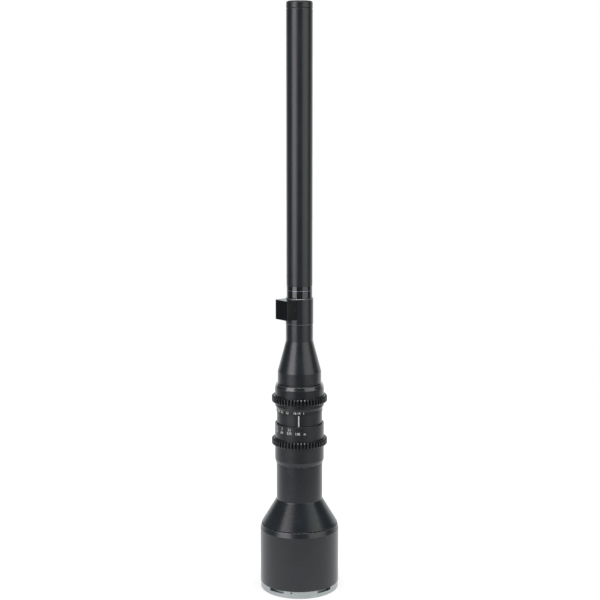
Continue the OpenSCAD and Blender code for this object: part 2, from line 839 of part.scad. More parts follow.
module iris_cam_ring() {
    inner = cam_rim_r - cam_rim_w;
    color("#8a7a4a") difference() {
        turned([[cam_hole_r, blades_top_z], [cam_plate_r, blades_top_z], [cam_plate_r, cam_rim_z],
            [cam_rim_r, cam_rim_z], [cam_rim_r, cam_rim_z + cam_rim_h], [inner, cam_rim_z + cam_rim_h],
            [inner, cam_rim_z], [cam_hole_r, cam_rim_z]]);
        for (i = [0 : blade_count - 1]) at_blade(i) translate([0, 0, blades_top_z - over]) drive_slot();
        for (angle = link_angles) spoke(angle, link_z, link_r + fit_gap, inner - over, cam_rim_r + over);
    }
}

module iris_base() {
    rim_top_z = cam_rim_z - ring_gap;
    color("#3a3b3d") difference() {
        turned([[iris_open_r, iris_z], [iris_base_r, iris_z], [iris_base_r, rim_top_z],
            [iris_base_r - iris_rim_w, rim_top_z], [iris_base_r - iris_rim_w, iris_z + iris_plate_h],
            [iris_open_r, iris_z + iris_plate_h]]);
        for (i = [0 : blade_count - 1]) at_blade(i) translate([pivot_circle_r, 0, iris_z - over])
            cylinder(r = pivot_pin_r + run_gap, h = iris_plate_h + 2 * over);
    }
}

// Outline of a blade: a crescent round the open aperture with a rounded tip
function blade_outline() = let (
        tip_r = (blade_r - iris_open_r) / 2,
        tip_circle_r = (blade_r + iris_open_r) / 2,
        tip_x = tip_circle_r * cos(blade_end),
        tip_y = tip_circle_r * sin(blade_end)
    )
    concat(
        [for (i = [0 : blade_steps]) let (a = blade_start + (blade_end - blade_start) * i / blade_steps)
            blade_r * [cos(a), sin(a)]],
        [for (i = [1 : blade_tip_steps - 1]) let (a = blade_end + 180 * i / blade_tip_steps)
            [tip_x + tip_r * cos(a), tip_y + tip_r * sin(a)]],
        [for (i = [blade_steps : -1 : 0]) let (a = blade_start + (blade_end - blade_start) * i / blade_steps)
            iris_open_r * [cos(a), sin(a)]]
    );

// One iris blade with its pivot pin down into the base and its drive pin up into the cam ring
module iris_blade(i) {
    low = blade_z + i * blade_pitch;
    pin_place = drive_place(0);
    arm = pin_place - [pivot_circle_r, 0];
    bridge_x = blade_r - ear_r;
    color("#4a4b4d") at_blade(i) {
        translate([0, 0, low]) {
            linear_extrude(height = blade_t) polygon(blade_outline());
            translate([pivot_circle_r, 0, 0]) cylinder(r = ear_r, h = blade_t);
            translate([bridge_x, -arm_w / 2, 0]) cube([pivot_circle_r - bridge_x, arm_w, blade_t]);
            translate([pivot_circle_r, 0, 0]) rotate([0, 0, atan2(arm.y, arm.x)])
                translate([0, -arm_w / 2, 0]) cube([norm(arm), arm_w, blade_t]);
            translate(pin_place) cylinder(r = ear_r, h = blade_t);
        }
        translate([pivot_circle_r, 0, iris_z]) cylinder(r = pivot_pin_r, h = low + blade_t - iris_z);
        translate([pin_place.x, pin_place.y, low])
            cylinder(r = drive_pin_r, h = cam_rim_z - slot_gap - low);
    }
}

// Front barrel and its lens

module front_barrel() {
    seat_r = barrel_lens_r - seat_w;
    socket_z = collar_z - stem_socket_l;
    color("#1d1e20") turned([[barrel_bore_r, barrel_foot_z], [barrel_spigot_r, barrel_foot_z],
        [barrel_spigot_r, front_z], [barrel_r, front_z], [barrel_r, cone_z], [stem_r, stem_z],
        [stem_r, collar_z - seam_bevel], [stem_r - seam_bevel, collar_z], [stem_socket_r, collar_z],
        [stem_socket_r, socket_z], [stem_bore_r, socket_z], [stem_bore_r, stem_z - barrel_wall],
        [seat_r, cone_z - barrel_wall / 2], [seat_r, barrel_seat_z], [barrel_bore_r, barrel_seat_z]]);
}

module barrel_lens() {
    color("lightsteelblue") translate([0, 0, barrel_seat_z - barrel_lens_rim])
        lens(barrel_lens_r, barrel_lens_rim, retainer_w + fit_gap);
}

module barrel_lens_ring() {
    high = barrel_seat_z - barrel_lens_rim;
    color("#0e0e0f") sleeve(barrel_lens_r, barrel_lens_r - retainer_w, high - retainer_h, high);
}

// Port collar, block and what the block holds

module port_collar() {
    spigot_z = collar_z - stem_socket_l;
    spigot_r = stem_socket_r - fit_gap;
    color("#1d1e20") difference() {
        turned([[stem_bore_r - fit_gap, spigot_z], [spigot_r, spigot_z], [spigot_r, collar_z],
            [collar_r - seam_bevel, collar_z], [collar_r, collar_z + seam_bevel],
            [collar_r, collar_top_z - seam_bevel], [collar_r - seam_bevel, collar_top_z],
            [collar_bore_r, collar_top_z], [collar_bore_r, collar_z], [stem_bore_r - fit_gap, collar_z]]);
        at_port() translate([collar_bore_r - over, -window_w / 2, flex_z - window_h / 2])
            cube([collar_r - collar_bore_r + 2 * over, window_w, window_h]);
    }
}

module port_block() {
    depth = port_reach - port_round;
    color("#141516") at_port() difference() {
        union() {
            translate([0, -port_w / 2, port_z]) cube([depth, port_w, port_h]);
            translate([0, -port_w / 2 + port_round, port_z])
                cube([port_reach, port_w - 2 * port_round, port_h]);
            for (side = [-1, 1]) translate([depth, side * (port_w / 2 - port_round), port_z])
                cylinder(r = port_round, h = port_h);
        }
        translate([0, 0, port_z - over]) cylinder(r = collar_r + fit_gap, h = port_h + 2 * over);
        translate([0, -port_w / 2 + port_wall, port_z + port_wall])
            cube([port_reach - port_wall, port_w - 2 * port_wall, port_h - 2 * port_wall]);
        translate([socket_x - fit_gap, -socket_w / 2 - fit_gap, port_z - over])
            cube([socket_t + 2 * fit_gap, socket_w + 2 * fit_gap, port_wall + 2 * over]);
        translate([lamp_x, port_w / 2 + over, lamp_z]) rotate([90, 0, 0])
            cylinder(r = lamp_r + fit_gap, h = port_wall + 2 * over);
    }
}

module micro_socket() {
    low = port_z + slot_gap;
    color("silver") at_port() difference() {
        translate([socket_x, -socket_w / 2, low]) cube([socket_t, socket_w, socket_l]);
        difference() {
            translate([socket_x + socket_wall, -socket_w / 2 + socket_wall, low - over])
                cube([socket_t - 2 * socket_wall, socket_w - 2 * socket_wall, socket_l - socket_wall + over]);
            translate([socket_x + (socket_t - tongue_t) / 2, -socket_w / 4, low + socket_wall])
                cube([tongue_t, socket_w / 2, socket_l]);
        }
    }
}

module port_board() {
    low = port_z + port_wall + board_margin;
    width = port_w - 2 * port_wall - 2 * board_margin;
    color("darkgreen") at_port() translate([socket_x + socket_t, -width / 2, low])
        cube([board_t, width, port_h - 2 * port_wall - 2 * board_margin]);
}

module port_lamp() {
    color("lightgray") at_port() translate([lamp_x, port_w / 2 - fit_gap, lamp_z]) rotate([90, 0, 0])
        cylinder(r = lamp_r, h = port_wall);
}

// Flat lead that runs beside the relay tube, from the port board to the lamp board
module flex_lead() {
    color("#b5651d") at_port() {
        translate([flex_x, -flex_w / 2, flex_z]) cube([flex_t, flex_w, tip_floor_z - flex_z]);
        translate([flex_x, -flex_w / 2, flex_z]) cube([socket_x + socket_t - flex_x, flex_w, flex_t]);
    }
}

// Groove that lets the flat lead past a ring
module flex_groove(low, high) {
    at_port() translate([0, -flex_slot_w / 2, low]) cube([flex_slot_x, flex_slot_w, high - low]);
}

// Joint between the collar and the probe tube

module lower_joint_ring() {
    low = collar_top_z - joint_spigot_l;
    color("black") difference() {
        turned([[joint_bore_r, low], [joint_spigot_r, low], [joint_spigot_r, collar_top_z],
            [joint_r, collar_top_z], [joint_r, washer_z], [joint_neck_r + fit_gap, washer_z],
            [joint_neck_r + fit_gap, washer_z - joint_neck_l - fit_gap],
            [joint_bore_r, washer_z - joint_neck_l - fit_gap]]);
        flex_groove(low - over, washer_z + over);
    }
}

module joint_washer() {
    color("silver") sleeve(joint_r + run_gap, joint_neck_r + fit_gap, washer_z, upper_joint_z);
}

module upper_joint_ring() {
    low = washer_z - joint_neck_l;
    color("black") difference() {
        turned([[joint_bore_r, low], [joint_neck_r, low], [joint_neck_r, upper_joint_z],
            [joint_r, upper_joint_z], [joint_r, tube_z], [upper_spigot_r, tube_z],
            [upper_spigot_r, tube_z + upper_spigot_l], [joint_bore_r, tube_z + upper_spigot_l]]);
        flex_groove(low - over, tube_z + upper_spigot_l + over);
    }
}

module probe_tube() {
    color("#1d1e20") sleeve(tube_r, tube_bore_r, tube_z, tube_top_z);
}

// Relay optics inside the probe tube

module relay_tube() {
    color("#2a2b2d") turned([[relay_bore_r - relay_spacer_wall, relay_z], [relay_r, relay_z],
        [relay_r, relay_top_z], [relay_bore_r, relay_top_z], [relay_bore_r, relay_stack_z],
        [relay_bore_r - relay_spacer_wall, relay_stack_z]]);
}

module relay_lens(i) {
    color("lightsteelblue") translate([0, 0, relay_stack_z + i * relay_pitch])
        lens(relay_lens_r, relay_rim, relay_spacer_wall + fit_gap);
}

module relay_spacer(i) {
    low = relay_stack_z + i * relay_pitch + relay_rim;
    color("#0e0e0f") sleeve(relay_lens_r, relay_lens_r - relay_spacer_wall, low, low + relay_spacer_l);
}

module relay_ring() {
    low = relay_stack_z + relay_stack_l;
    color("#0e0e0f") sleeve(relay_lens_r, relay_lens_r - relay_spacer_wall, low, low + retainer_h);
}

// Tip with its lamps and front lens

module tip_seal() {
    color("#0a0a0a") sleeve(seal_r, seal_bore_r, tube_top_z, tip_z);
}

module tip_ring() {
    spigot_z = tip_z - seal_h - tip_spigot_l;
    spigot_r = tube_bore_r - fit_gap;
    round_z = tip_top_z - tip_round;
    color("#1d1e20") difference() {
        turned(concat(
            [[joint_bore_r, spigot_z], [spigot_r, spigot_z], [spigot_r, tip_z], [tube_r, tip_z]],
            [for (a = [0 : 15 : 90]) [tube_r - tip_round + tip_round * cos(a), round_z + tip_round * sin(a)]],
            [[tip_bore_r, tip_top_z], [tip_bore_r, tip_floor_z], [cell_r + fit_gap, tip_floor_z],
                [cell_r + fit_gap, tip_z - 2 * fit_gap], [joint_bore_r, tip_z - 2 * fit_gap]]
        ));
        flex_groove(spigot_z - over, tip_floor_z + over);
    }
}

module lamp_board() {
    color("darkgreen") sleeve(cover_r, cover_bore_r, tip_floor_z, tip_floor_z + board_h);
}

module lamps() {
    middle = (cover_r - cover_skirt_w + cover_bore_r) / 2;
    color("lightyellow")
        for (i = [0 : lamp_count - 1]) rotate([0, 0, i * 360 / lamp_count])
            translate([middle - lamp_body_w / 2, -lamp_body_w / 2, tip_floor_z + board_h])
                cube([lamp_body_w, lamp_body_w, lamp_body_h]);
}

module light_cover() {
    low = tip_floor_z + board_h;
    color("whitesmoke") turned([[cover_r - cover_skirt_w, low], [cover_r, low], [cover_r, cover_top_z],
        [cover_bore_r, cover_top_z], [cover_bore_r, cover_top_z - cover_h],
        [cover_r - cover_skirt_w, cover_top_z - cover_h]]);
}

module front_lens_cell() {
    lip_r = front_lens_r - retainer_w / 2;
    seat_z = cell_top_z - front_lens_rim - dome_h;
    color("#0e0e0f") turned([[lip_r, cell_z], [cell_r, cell_z], [cell_r, cell_top_z],
        [front_lens_r + fit_gap, cell_top_z], [front_lens_r + fit_gap, seat_z], [lip_r, seat_z]]);
}

module front_lens() {
    color("lightsteelblue") translate([0, 0, cell_top_z - front_lens_rim - dome_h])
        lens(front_lens_r, front_lens_rim, retainer_w / 2 + fit_gap);
}

mount_ring();
mount_screws();
grub_screw();
rear_housing();
rear_baffle();
bell();
rear_lens();
rear_lens_ring();
guide_barrel();
focus_ring();
focus_cam_sleeve();
focus_carrier();
cam_pins();
focus_lens_rear();
focus_lens_front();
focus_lens_ring();
index_barrel();
aperture_ring();
iris_cam_ring();
link_screws();
iris_base();
iris_blade(0);  // iris_blade_1
iris_blade(1);  // iris_blade_2
iris_blade(2);  // iris_blade_3
iris_blade(3);  // iris_blade_4
iris_blade(4);  // iris_blade_5
iris_blade(5);  // iris_blade_6
iris_blade(6);  // iris_blade_7
front_barrel();
barrel_lens();
barrel_lens_ring();
port_collar();
port_block();
micro_socket();
port_board();
port_lamp();
flex_lead();
lower_joint_ring();
joint_washer();
upper_joint_ring();
probe_tube();
relay_tube();
relay_lens(0);  // relay_lens_1
relay_lens(1);  // relay_lens_2
relay_lens(2);  // relay_lens_3
relay_lens(3);  // relay_lens_4
relay_lens(4);  // relay_lens_5
relay_spacer(0);  // relay_spacer_1
relay_spacer(1);  // relay_spacer_2
relay_spacer(2);  // relay_spacer_3
relay_spacer(3);  // relay_spacer_4
relay_ring();
tip_seal();
tip_ring();
lamp_board();
lamps();
light_cover();
front_lens_cell();
front_lens();
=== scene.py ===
"""Looks of a long probe macro lens that stands on its camera mount.

Heights start from the CAD frame. Each sub-assembly below keeps its radii and edges in
millimetres, turns its outlines into closed surfaces and dresses them in its finishes.
"""

import json
import logging
import math
from collections.abc import Sequence
from dataclasses import dataclass
from enum import Enum
from functools import lru_cache
from typing import NamedTuple, Optional, Union

import bmesh
import bpy
import numpy as np
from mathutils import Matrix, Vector


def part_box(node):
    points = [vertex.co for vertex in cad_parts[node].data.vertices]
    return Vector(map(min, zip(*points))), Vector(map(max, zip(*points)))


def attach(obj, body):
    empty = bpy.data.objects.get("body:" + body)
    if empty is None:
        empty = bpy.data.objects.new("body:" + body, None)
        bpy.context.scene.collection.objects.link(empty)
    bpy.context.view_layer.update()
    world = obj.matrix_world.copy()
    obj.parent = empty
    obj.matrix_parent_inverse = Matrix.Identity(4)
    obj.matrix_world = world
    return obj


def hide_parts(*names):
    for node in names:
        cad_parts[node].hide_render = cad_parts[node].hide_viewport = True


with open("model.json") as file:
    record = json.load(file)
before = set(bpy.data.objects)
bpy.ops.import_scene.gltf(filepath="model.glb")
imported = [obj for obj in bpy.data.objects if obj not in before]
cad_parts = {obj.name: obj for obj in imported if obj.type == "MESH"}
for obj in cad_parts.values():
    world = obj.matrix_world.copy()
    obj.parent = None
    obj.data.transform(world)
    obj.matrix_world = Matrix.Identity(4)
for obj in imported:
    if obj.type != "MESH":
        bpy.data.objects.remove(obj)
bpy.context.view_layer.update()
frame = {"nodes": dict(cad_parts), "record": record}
LOG = logging.getLogger("probe_lens")
BODY_OF = {n: body for body, nodes in frame["record"]["behaviour"]["bodies"].items() for n in nodes}
SLOT_OF = {part["node"]: part["material_slot"] for part in frame["record"]["subparts"]}

MM = 0.001
# Depth of the aperture ring's polished crown in millimetres, and the height in metres where it begins.
CROWN_DEPTH = 3.5
CROWN_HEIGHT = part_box("aperture_ring")[1].z - CROWN_DEPTH * MM
# How far the edges of the collar, the joint and the tube's foot stand above the CAD's, in millimetres.
JOINT_LIFT = 0.6
# Rounding of a corner that names none, chords in its arc, and the share of a side that it may take.
SOFT = 0.08
ARC_STEPS = 4
ARC_REACH = 0.45
# Turn in radians from which an outer corner counts as an edge that wears.
EDGE_TURN = 0.3
# Steps round the axis in a plain ring.
ROUND_STEPS = 224
WHITE = (1.0, 1.0, 1.0)

Colour = tuple[float, float, float]
Place = tuple[float, float, float]
Pair = tuple[float, float]
Tint = Union[Colour, bpy.types.NodeSocket]
Options = Optional[dict]
# Corner of an outline: radius and height in millimetres, and its rounding where that isn't SOFT.
Corner = tuple[float, ...]
Outline = list[Corner]


# Shader maths


class Number:
    """A number in a material. Python's operators on it add the Math nodes."""

    def __init__(self, graph: "Graph", socket: bpy.types.NodeSocket) -> None:
        """Keep the graph that the number belongs to and the socket that gives it."""
        self.graph = graph
        self.socket = socket

    def __add__(self, other: "Number | float") -> "Number":
        """Sum of two numbers."""
        return self.graph.math("ADD", self, other)

    def __sub__(self, other: "Number | float") -> "Number":
        """This number less the other."""
        return self.graph.math("SUBTRACT", self, other)

    def __rsub__(self, other: float) -> "Number":
        """The other number less this one."""
        return self.graph.math("SUBTRACT", other, self)

    def __mul__(self, other: "Number | float") -> "Number":
        """Product of two numbers."""
        return self.graph.math("MULTIPLY", self, other)

    def __pow__(self, power: float) -> "Number":
        """This number to a power."""
        return self.graph.math("POWER", self, power)

    __radd__ = __add__
    __rmul__ = __mul__

    def within(self, low: float, high: float) -> "Number":
        """Share of the way from low to high, eased at both ends and held between 0 and 1.

        Args:
            low: value that gives 0.
            high: value that gives 1.

        Returns:
            The eased share.
        """
        settings = {"interpolation_type": "SMOOTHSTEP"}
        sockets = {"Value": self, "From Min": low, "From Max": high}
        return self.graph.number("ShaderNodeMapRange", "Result", settings, sockets)

    def larger(self, other: "Number | float") -> "Number":
        """The larger of two numbers."""
        return self.graph.math("MAXIMUM", self, other)


class Graph:
    """Node tree of one material or of the world, filled through one method."""

    def __init__(self, tree: bpy.types.NodeTree) -> None:
        """Empty the tree and keep it."""
        tree.nodes.clear()
        self.tree = tree

    def node(self, kind: str, settings: Options = None, sockets: Options = None) -> bpy.types.Node:
        """Add a node, set it up, then give its sockets their values or links.

        Args:
            kind: type of the node.
            settings: its settings by name, set before any socket.
            sockets: values, Numbers or output sockets by the name or place of each input.

        Returns:
            The new node.
        """
        made = self.tree.nodes.new(kind)
        for name, value in (settings or {}).items():
            setattr(made, name, value)
        for name, value in (sockets or {}).items():
            if isinstance(value, Number):
                value = value.socket
            if isinstance(value, bpy.types.NodeSocket):
                self.tree.links.new(value, made.inputs[name])
            else:
                made.inputs[name].default_value = value
        return made

    def number(
        self, kind: str, output: str | int, settings: Options = None, sockets: Options = None
    ) -> Number:
        """Add a node as above, and take the output of that name or place as a number."""
        return Number(self, self.node(kind, settings, sockets).outputs[output])

    def math(self, operation: str, *values: "Number | float") -> Number:
        """Result of a Math node on these values."""
        return self.number("ShaderNodeMath", 0, {"operation": operation}, dict(enumerate(values)))

    def place(self) -> bpy.types.NodeSocket:
        """Place on the object, in metres."""
        return self.node("ShaderNodeTexCoord").outputs["Object"]

    def parts(self, vector: bpy.types.NodeSocket) -> list[Number]:
        """The three parts of a vector."""
        outputs = self.node("ShaderNodeSeparateXYZ", None, {0: vector}).outputs
        return [Number(self, part) for part in outputs]

    def height(self) -> Number:
        """Height above the seat face, in metres."""
        return self.parts(self.place())[2]

    def reach(self, centre: Pair = (0.0, 0.0)) -> Number:
        """Level distance from an upright line.

        Args:
            centre: where the line stands, in metres. It is the axis unless given.

        Returns:
            The distance in metres.
        """
        x, y, _ = self.parts(self.place())
        x, y = x - centre[0], y - centre[1]
        return (x * x + y * y) ** 0.5

    def noise(self, size: float, detail: float = 3.0) -> Number:
        """Cloudy noise over the object.

        Args:
            size: width of one cloud in millimetres.
            detail: number of finer layers.

        Returns:
            Noise from 0 to 1.
        """
        sockets = {"Vector": self.place(), "Scale": 1 / (size * MM), "Detail": detail}
        return self.number("ShaderNodeTexNoise", "Fac", {"noise_dimensions": "3D"}, sockets)

    def lathe_marks(self, pitch: float) -> Number:
        """Fine rings about the axis, such as a lathe leaves on a wall or on an end face.

        The rings are one-dimensional noise along the sum of height and distance from the axis.

        Args:
            pitch: mean width of a ring in millimetres.

        Returns:
            Noise from 0 to 1 that is the same all round.
        """
        sockets = {"W": self.reach() + self.height(), "Scale": 1 / (pitch * MM), "Detail": 3.0}
        return self.number("ShaderNodeTexNoise", "Fac", {"noise_dimensions": "1D"}, sockets)

    def attribute(self, name: str) -> Number:
        """An attribute of a turned piece, which is 0 where the piece has none.

        Args:
            name: "edge" is 1 along a broken edge and "sunk" is 1 at the bottom of a gap.

        Returns:
            Its value.
        """
        return self.number("ShaderNodeAttribute", "Fac", {"attribute_name": name})

    def rays(self) -> tuple[Number, Number]:
        """Whether a ray comes from the camera or through glass, and whether it is a reflection.

        Returns:
            Two numbers, each 0 or 1.
        """
        outputs = self.node("ShaderNodeLightPath").outputs
        camera, glass, glossy = (
            Number(self, outputs[f"Is {kind} Ray"]) for kind in ("Camera", "Transmission", "Glossy")
        )
        return camera.larger(glass), glossy

    def blend(self, share: Number, first: Tint, second: Tint) -> bpy.types.NodeSocket:
        """Colour between two colours.

        Args:
            share: 0 for the first colour, 1 for the second.
            first: colour or colour socket.
            second: colour or colour socket.

        Returns:
            The mixed colour.
        """
        inputs = {0: share, 6: opaque(first), 7: opaque(second)}
        return self.node("ShaderNodeMix", {"data_type": "RGBA"}, inputs).outputs[2]

    def bump(self, height: Number, depth: float) -> bpy.types.NodeSocket:
        """Normal of a surface roughened by a height.

        Args:
            height: height from 0 to 1.
            depth: depth of the relief in millimetres.

        Returns:
            The roughened normal.
        """
        return self.node("ShaderNodeBump", None, {"Height": height, "Distance": depth * MM}).outputs[0]


def opaque(colour: Tint) -> tuple | bpy.types.NodeSocket:
    """Colour with its alpha added, or a socket as it is."""
    return (*colour, 1.0) if isinstance(colour, tuple) else colour


def shade(colour: Colour, share: float) -> Colour:
    """Colour multiplied by a share."""
    return tuple(channel * share for channel in colour)


# Finishes


@dataclass(frozen=True)
class Finish:
    """A finish: its material's name and what it gives to the Principled shader."""

    name: str

    def sockets(self, graph: Graph) -> dict:
        """Inputs of the shader by name. Each kind of finish draws its own."""
        raise NotImplementedError

    def surface(self, graph: Graph) -> bpy.types.NodeSocket:
        """The finish's shader."""
        return graph.node("ShaderNodeBsdfPrincipled", None, self.sockets(graph)).outputs[0]


@dataclass(frozen=True)
class Anodised(Finish):
    """Black anodised aluminium: lathe marks, an even etched grain, faint clouds, pale worn edges and
    painted shade at the bottom of gaps.

    Above a given height, in metres, it may be polished.
    """

    tone: Colour = (0.0082, 0.0105, 0.0138)
    roughness: float = 0.3
    grain: float = 0.012
    rings: float = 0.004
    ring_pitch: float = 0.12
    wear: float = 0.35
    shine: float = 0.5
    polished_above: float | None = None
    polish: float = 0.52
    polish_roughness: float = 0.12
    polish_fade: float = 0.2 * MM
    bare: Colour = (0.5, 0.5, 0.51)
    cloud_size: float = 14.0
    fleck_size: float = 1.1
    grain_size: float = 0.16

    def sockets(self, graph: Graph) -> dict:
        """Draw the finish.

        Args:
            graph: the material's graph.

        Returns:
            Inputs of the shader by name.
        """
        clouds = graph.noise(self.cloud_size, 2.0)
        rings = graph.lathe_marks(self.ring_pitch)
        # Painted shade: where the "sunk" attribute is 1, at the bottom of a gap such as a tooth's root, the
        # colour is painted down to 0.4 of the tone. It is also rougher there.
        sunk = graph.attribute("sunk").within(0.25, 0.75)
        flecks = graph.noise(self.fleck_size).within(0.3, 0.7)
        worn = graph.attribute("edge") * flecks * (1 - sunk) * self.wear
        even = graph.blend(clouds.within(0.3, 0.7), shade(self.tone, 0.88), shade(self.tone, 1.14))
        relief = graph.noise(self.grain_size) * self.grain + rings * self.rings
        sockets = {
            "Base Color": graph.blend(worn, graph.blend(sunk, even, shade(self.tone, 0.4)), self.bare),
            "Metallic": worn.within(0.0, 1.0),
            "Roughness": (clouds - 0.5) * 0.1 + (rings - 0.5) * 0.12 + sunk * 0.5 + self.roughness,
            "Specular IOR Level": self.shine,
            "Normal": graph.bump(relief, 1.0),
        }
        if self.polished_above is not None:
            above = graph.height().within(self.polished_above, self.polished_above + self.polish_fade)
            sockets |= {"Coat Weight": above * self.polish, "Coat Roughness": self.polish_roughness}
        return sockets


@dataclass(frozen=True)
class TurnedMetal(Finish):
    """Bare metal with the rings of the tool and faint clouds where it was handled."""

    tone: Colour
    roughness: float = 0.28
    rings: float = 0.004
    ring_pitch: float = 0.1
    cloud_size: float = 9.0

    def sockets(self, graph: Graph) -> dict:
        """Draw the finish.

        Args:
            graph: the material's graph.

        Returns:
            Inputs of the shader by name.
        """
        clouds = graph.noise(self.cloud_size)
        rings = graph.lathe_marks(self.ring_pitch)
        return {
            "Base Color": graph.blend(clouds.within(0.35, 0.7), shade(self.tone, 0.92), self.tone),
            "Metallic": 1.0,
            "Roughness": (rings - 0.5) * 0.16 + (clouds - 0.5) * 0.12 + self.roughness,
            "Normal": graph.bump(rings, self.rings),
        }


@dataclass(frozen=True)
class Polished(Finish):
    """Deep black polish with faint smears."""

    tone: Colour
    roughness: float
    smear_size: float = 5.0

    def sockets(self, graph: Graph) -> dict:
        """Draw the finish.

        Args:
            graph: the material's graph.

        Returns:
            Inputs of the shader by name.
        """
        smears = graph.noise(self.smear_size)
        colour = graph.blend(smears, shade(self.tone, 0.8), shade(self.tone, 1.2))
        return {"Base Color": colour, "Roughness": smears.within(0.45, 0.8) * 0.05 + self.roughness}


@dataclass(frozen=True)
class Matt(Finish):
    """Even matt surface with a fine grain: painted metal, plastic, rubber or a circuit board."""

    tone: Colour
    roughness: float
    grain_size: float
    grain: float
    shine: float = 0.5
    cloud_size: float = 7.0

    def sockets(self, graph: Graph) -> dict:
        """Draw the finish.

        Args:
            graph: the material's graph.

        Returns:
            Inputs of the shader by name.
        """
        clouds = graph.noise(self.cloud_size, 2.0)
        return {
            "Base Color": graph.blend(clouds, shade(self.tone, 0.85), shade(self.tone, 1.15)),
            "Roughness": (clouds - 0.5) * 0.14 + self.roughness,
            "Specular IOR Level": self.shine,
            "Normal": graph.bump(graph.noise(self.grain_size), self.grain),
        }


@dataclass(frozen=True)
class CoatedGlass(Finish):
    """Dark optical glass whose coating turns from one tint to another towards its rim."""

    facing: Colour = (0.07, 0.03, 0.12)
    glancing: Colour = (0.03, 0.14, 0.1)
    dust_size: float = 0.6

    def sockets(self, graph: Graph) -> dict:
        """Draw the finish.

        Args:
            graph: the material's graph.

        Returns:
            Inputs of the shader by name.
        """
        turned_away = graph.number("ShaderNodeLayerWeight", "Facing", None, {"Blend": 0.35})
        dust = graph.noise(self.dust_size).within(0.6, 0.8)
        return {
            "Base Color": graph.blend(turned_away.within(0.05, 0.6), self.facing, self.glancing),
            "Roughness": dust * 0.03 + 0.015,
            "IOR": 1.6,
            "Transmission Weight": 0.25,
            "Coat Weight": 1.0,
        }


@dataclass(frozen=True)
class ClearCover(Finish):
    """Frosted clear plastic over the lamps."""

    tone: Colour = (0.82, 0.84, 0.82)
    frost_size: float = 0.5

    def sockets(self, graph: Graph) -> dict:
        """Draw the finish.

        Args:
            graph: the material's graph.

        Returns:
            Inputs of the shader by name.
        """
        frost = graph.noise(self.frost_size)
        colour = graph.blend(frost, shade(self.tone, 0.95), self.tone)
        return {"Base Color": colour, "Roughness": frost * 0.15 + 0.12, "Transmission Weight": 0.85}


@dataclass(frozen=True)
class Ink(Finish):
    """Paint that fills the engraved numbers, a little thin in places."""

    tone: Colour = (0.62, 0.63, 0.62)
    patch_size: float = 0.5

    def sockets(self, graph: Graph) -> dict:
        """Draw the finish.

        Args:
            graph: the material's graph.

        Returns:
            Inputs of the shader by name.
        """
        thin = graph.noise(self.patch_size).within(0.55, 0.85)
        colour = graph.blend(thin, self.tone, shade(self.tone, 0.72))
        return {"Base Color": colour, "Roughness": thin * 0.2 + 0.5}


@dataclass(frozen=True)
class Paper(Finish):
    """Pale floor. Near the lens it keeps the shadow, and further out it is plain white.

    In reflections it glows round a spot behind the lens, a painted pool of light, and fades to grey paper
    away from it; the paper itself is painted from light grey near the lens to dark grey further out, a
    painted falloff of light.
    Places and distances are in metres.
    """

    name: str = "white_floor"
    # Painted falloff of light: tone of the paper near the lens and far from it, and the distances over
    # which it darkens.
    near: float = 0.6
    far: float = 0.2
    painted_falloff: Pair = (0.12, 0.42)
    shadow: Pair = (0.03, 0.06)
    glow: float = 0.7
    level: float = 1.2
    spot: Pair = (0.0, 0.35)
    spot_fade: Pair = (0.25, 0.85)
    spot_level: float = 1.32

    def surface(self, graph: Graph) -> bpy.types.NodeSocket:
        """Draw the floor, as paper that also gives light.

        Args:
            graph: the material's graph.

        Returns:
            The surface shader.
        """
        seen, mirrored = graph.rays()
        # Painted falloff of light: the paper's colour goes from the near tone to the far tone away from the
        # lens.
        away = graph.reach().within(*self.painted_falloff)
        clear = graph.reach().within(*self.shadow)
        # Painted pool of light: in reflections the floor glows round a spot behind the lens and fades away
        # from it.
        faded = graph.reach(self.spot).within(*self.spot_fade)
        tone = graph.blend(away, shade(WHITE, self.near), shade(WHITE, self.far))
        level = graph.blend(mirrored, shade(WHITE, self.level), shade(WHITE, self.spot_level))
        share = (seen * (clear * (1 - self.glow) + self.glow)).larger(mirrored * (1 - faded))
        paper = graph.node("ShaderNodeBsdfDiffuse", None, {"Color": tone}).outputs[0]
        light = graph.node("ShaderNodeEmission", None, {"Color": level, "Strength": 1.0}).outputs[0]
        return graph.node("ShaderNodeMixShader", None, {0: share, 1: paper, 2: light}).outputs[0]


@lru_cache(maxsize=None)
def material_of(finish: Finish) -> bpy.types.Material:
    """Material of a finish, made once.

    Args:
        finish: the finish.

    Returns:
        Its material.
    """
    material = bpy.data.materials.new(finish.name)
    material.use_nodes = True
    graph = Graph(material.node_tree)
    graph.node("ShaderNodeOutputMaterial", None, {"Surface": finish.surface(graph)})
    return material


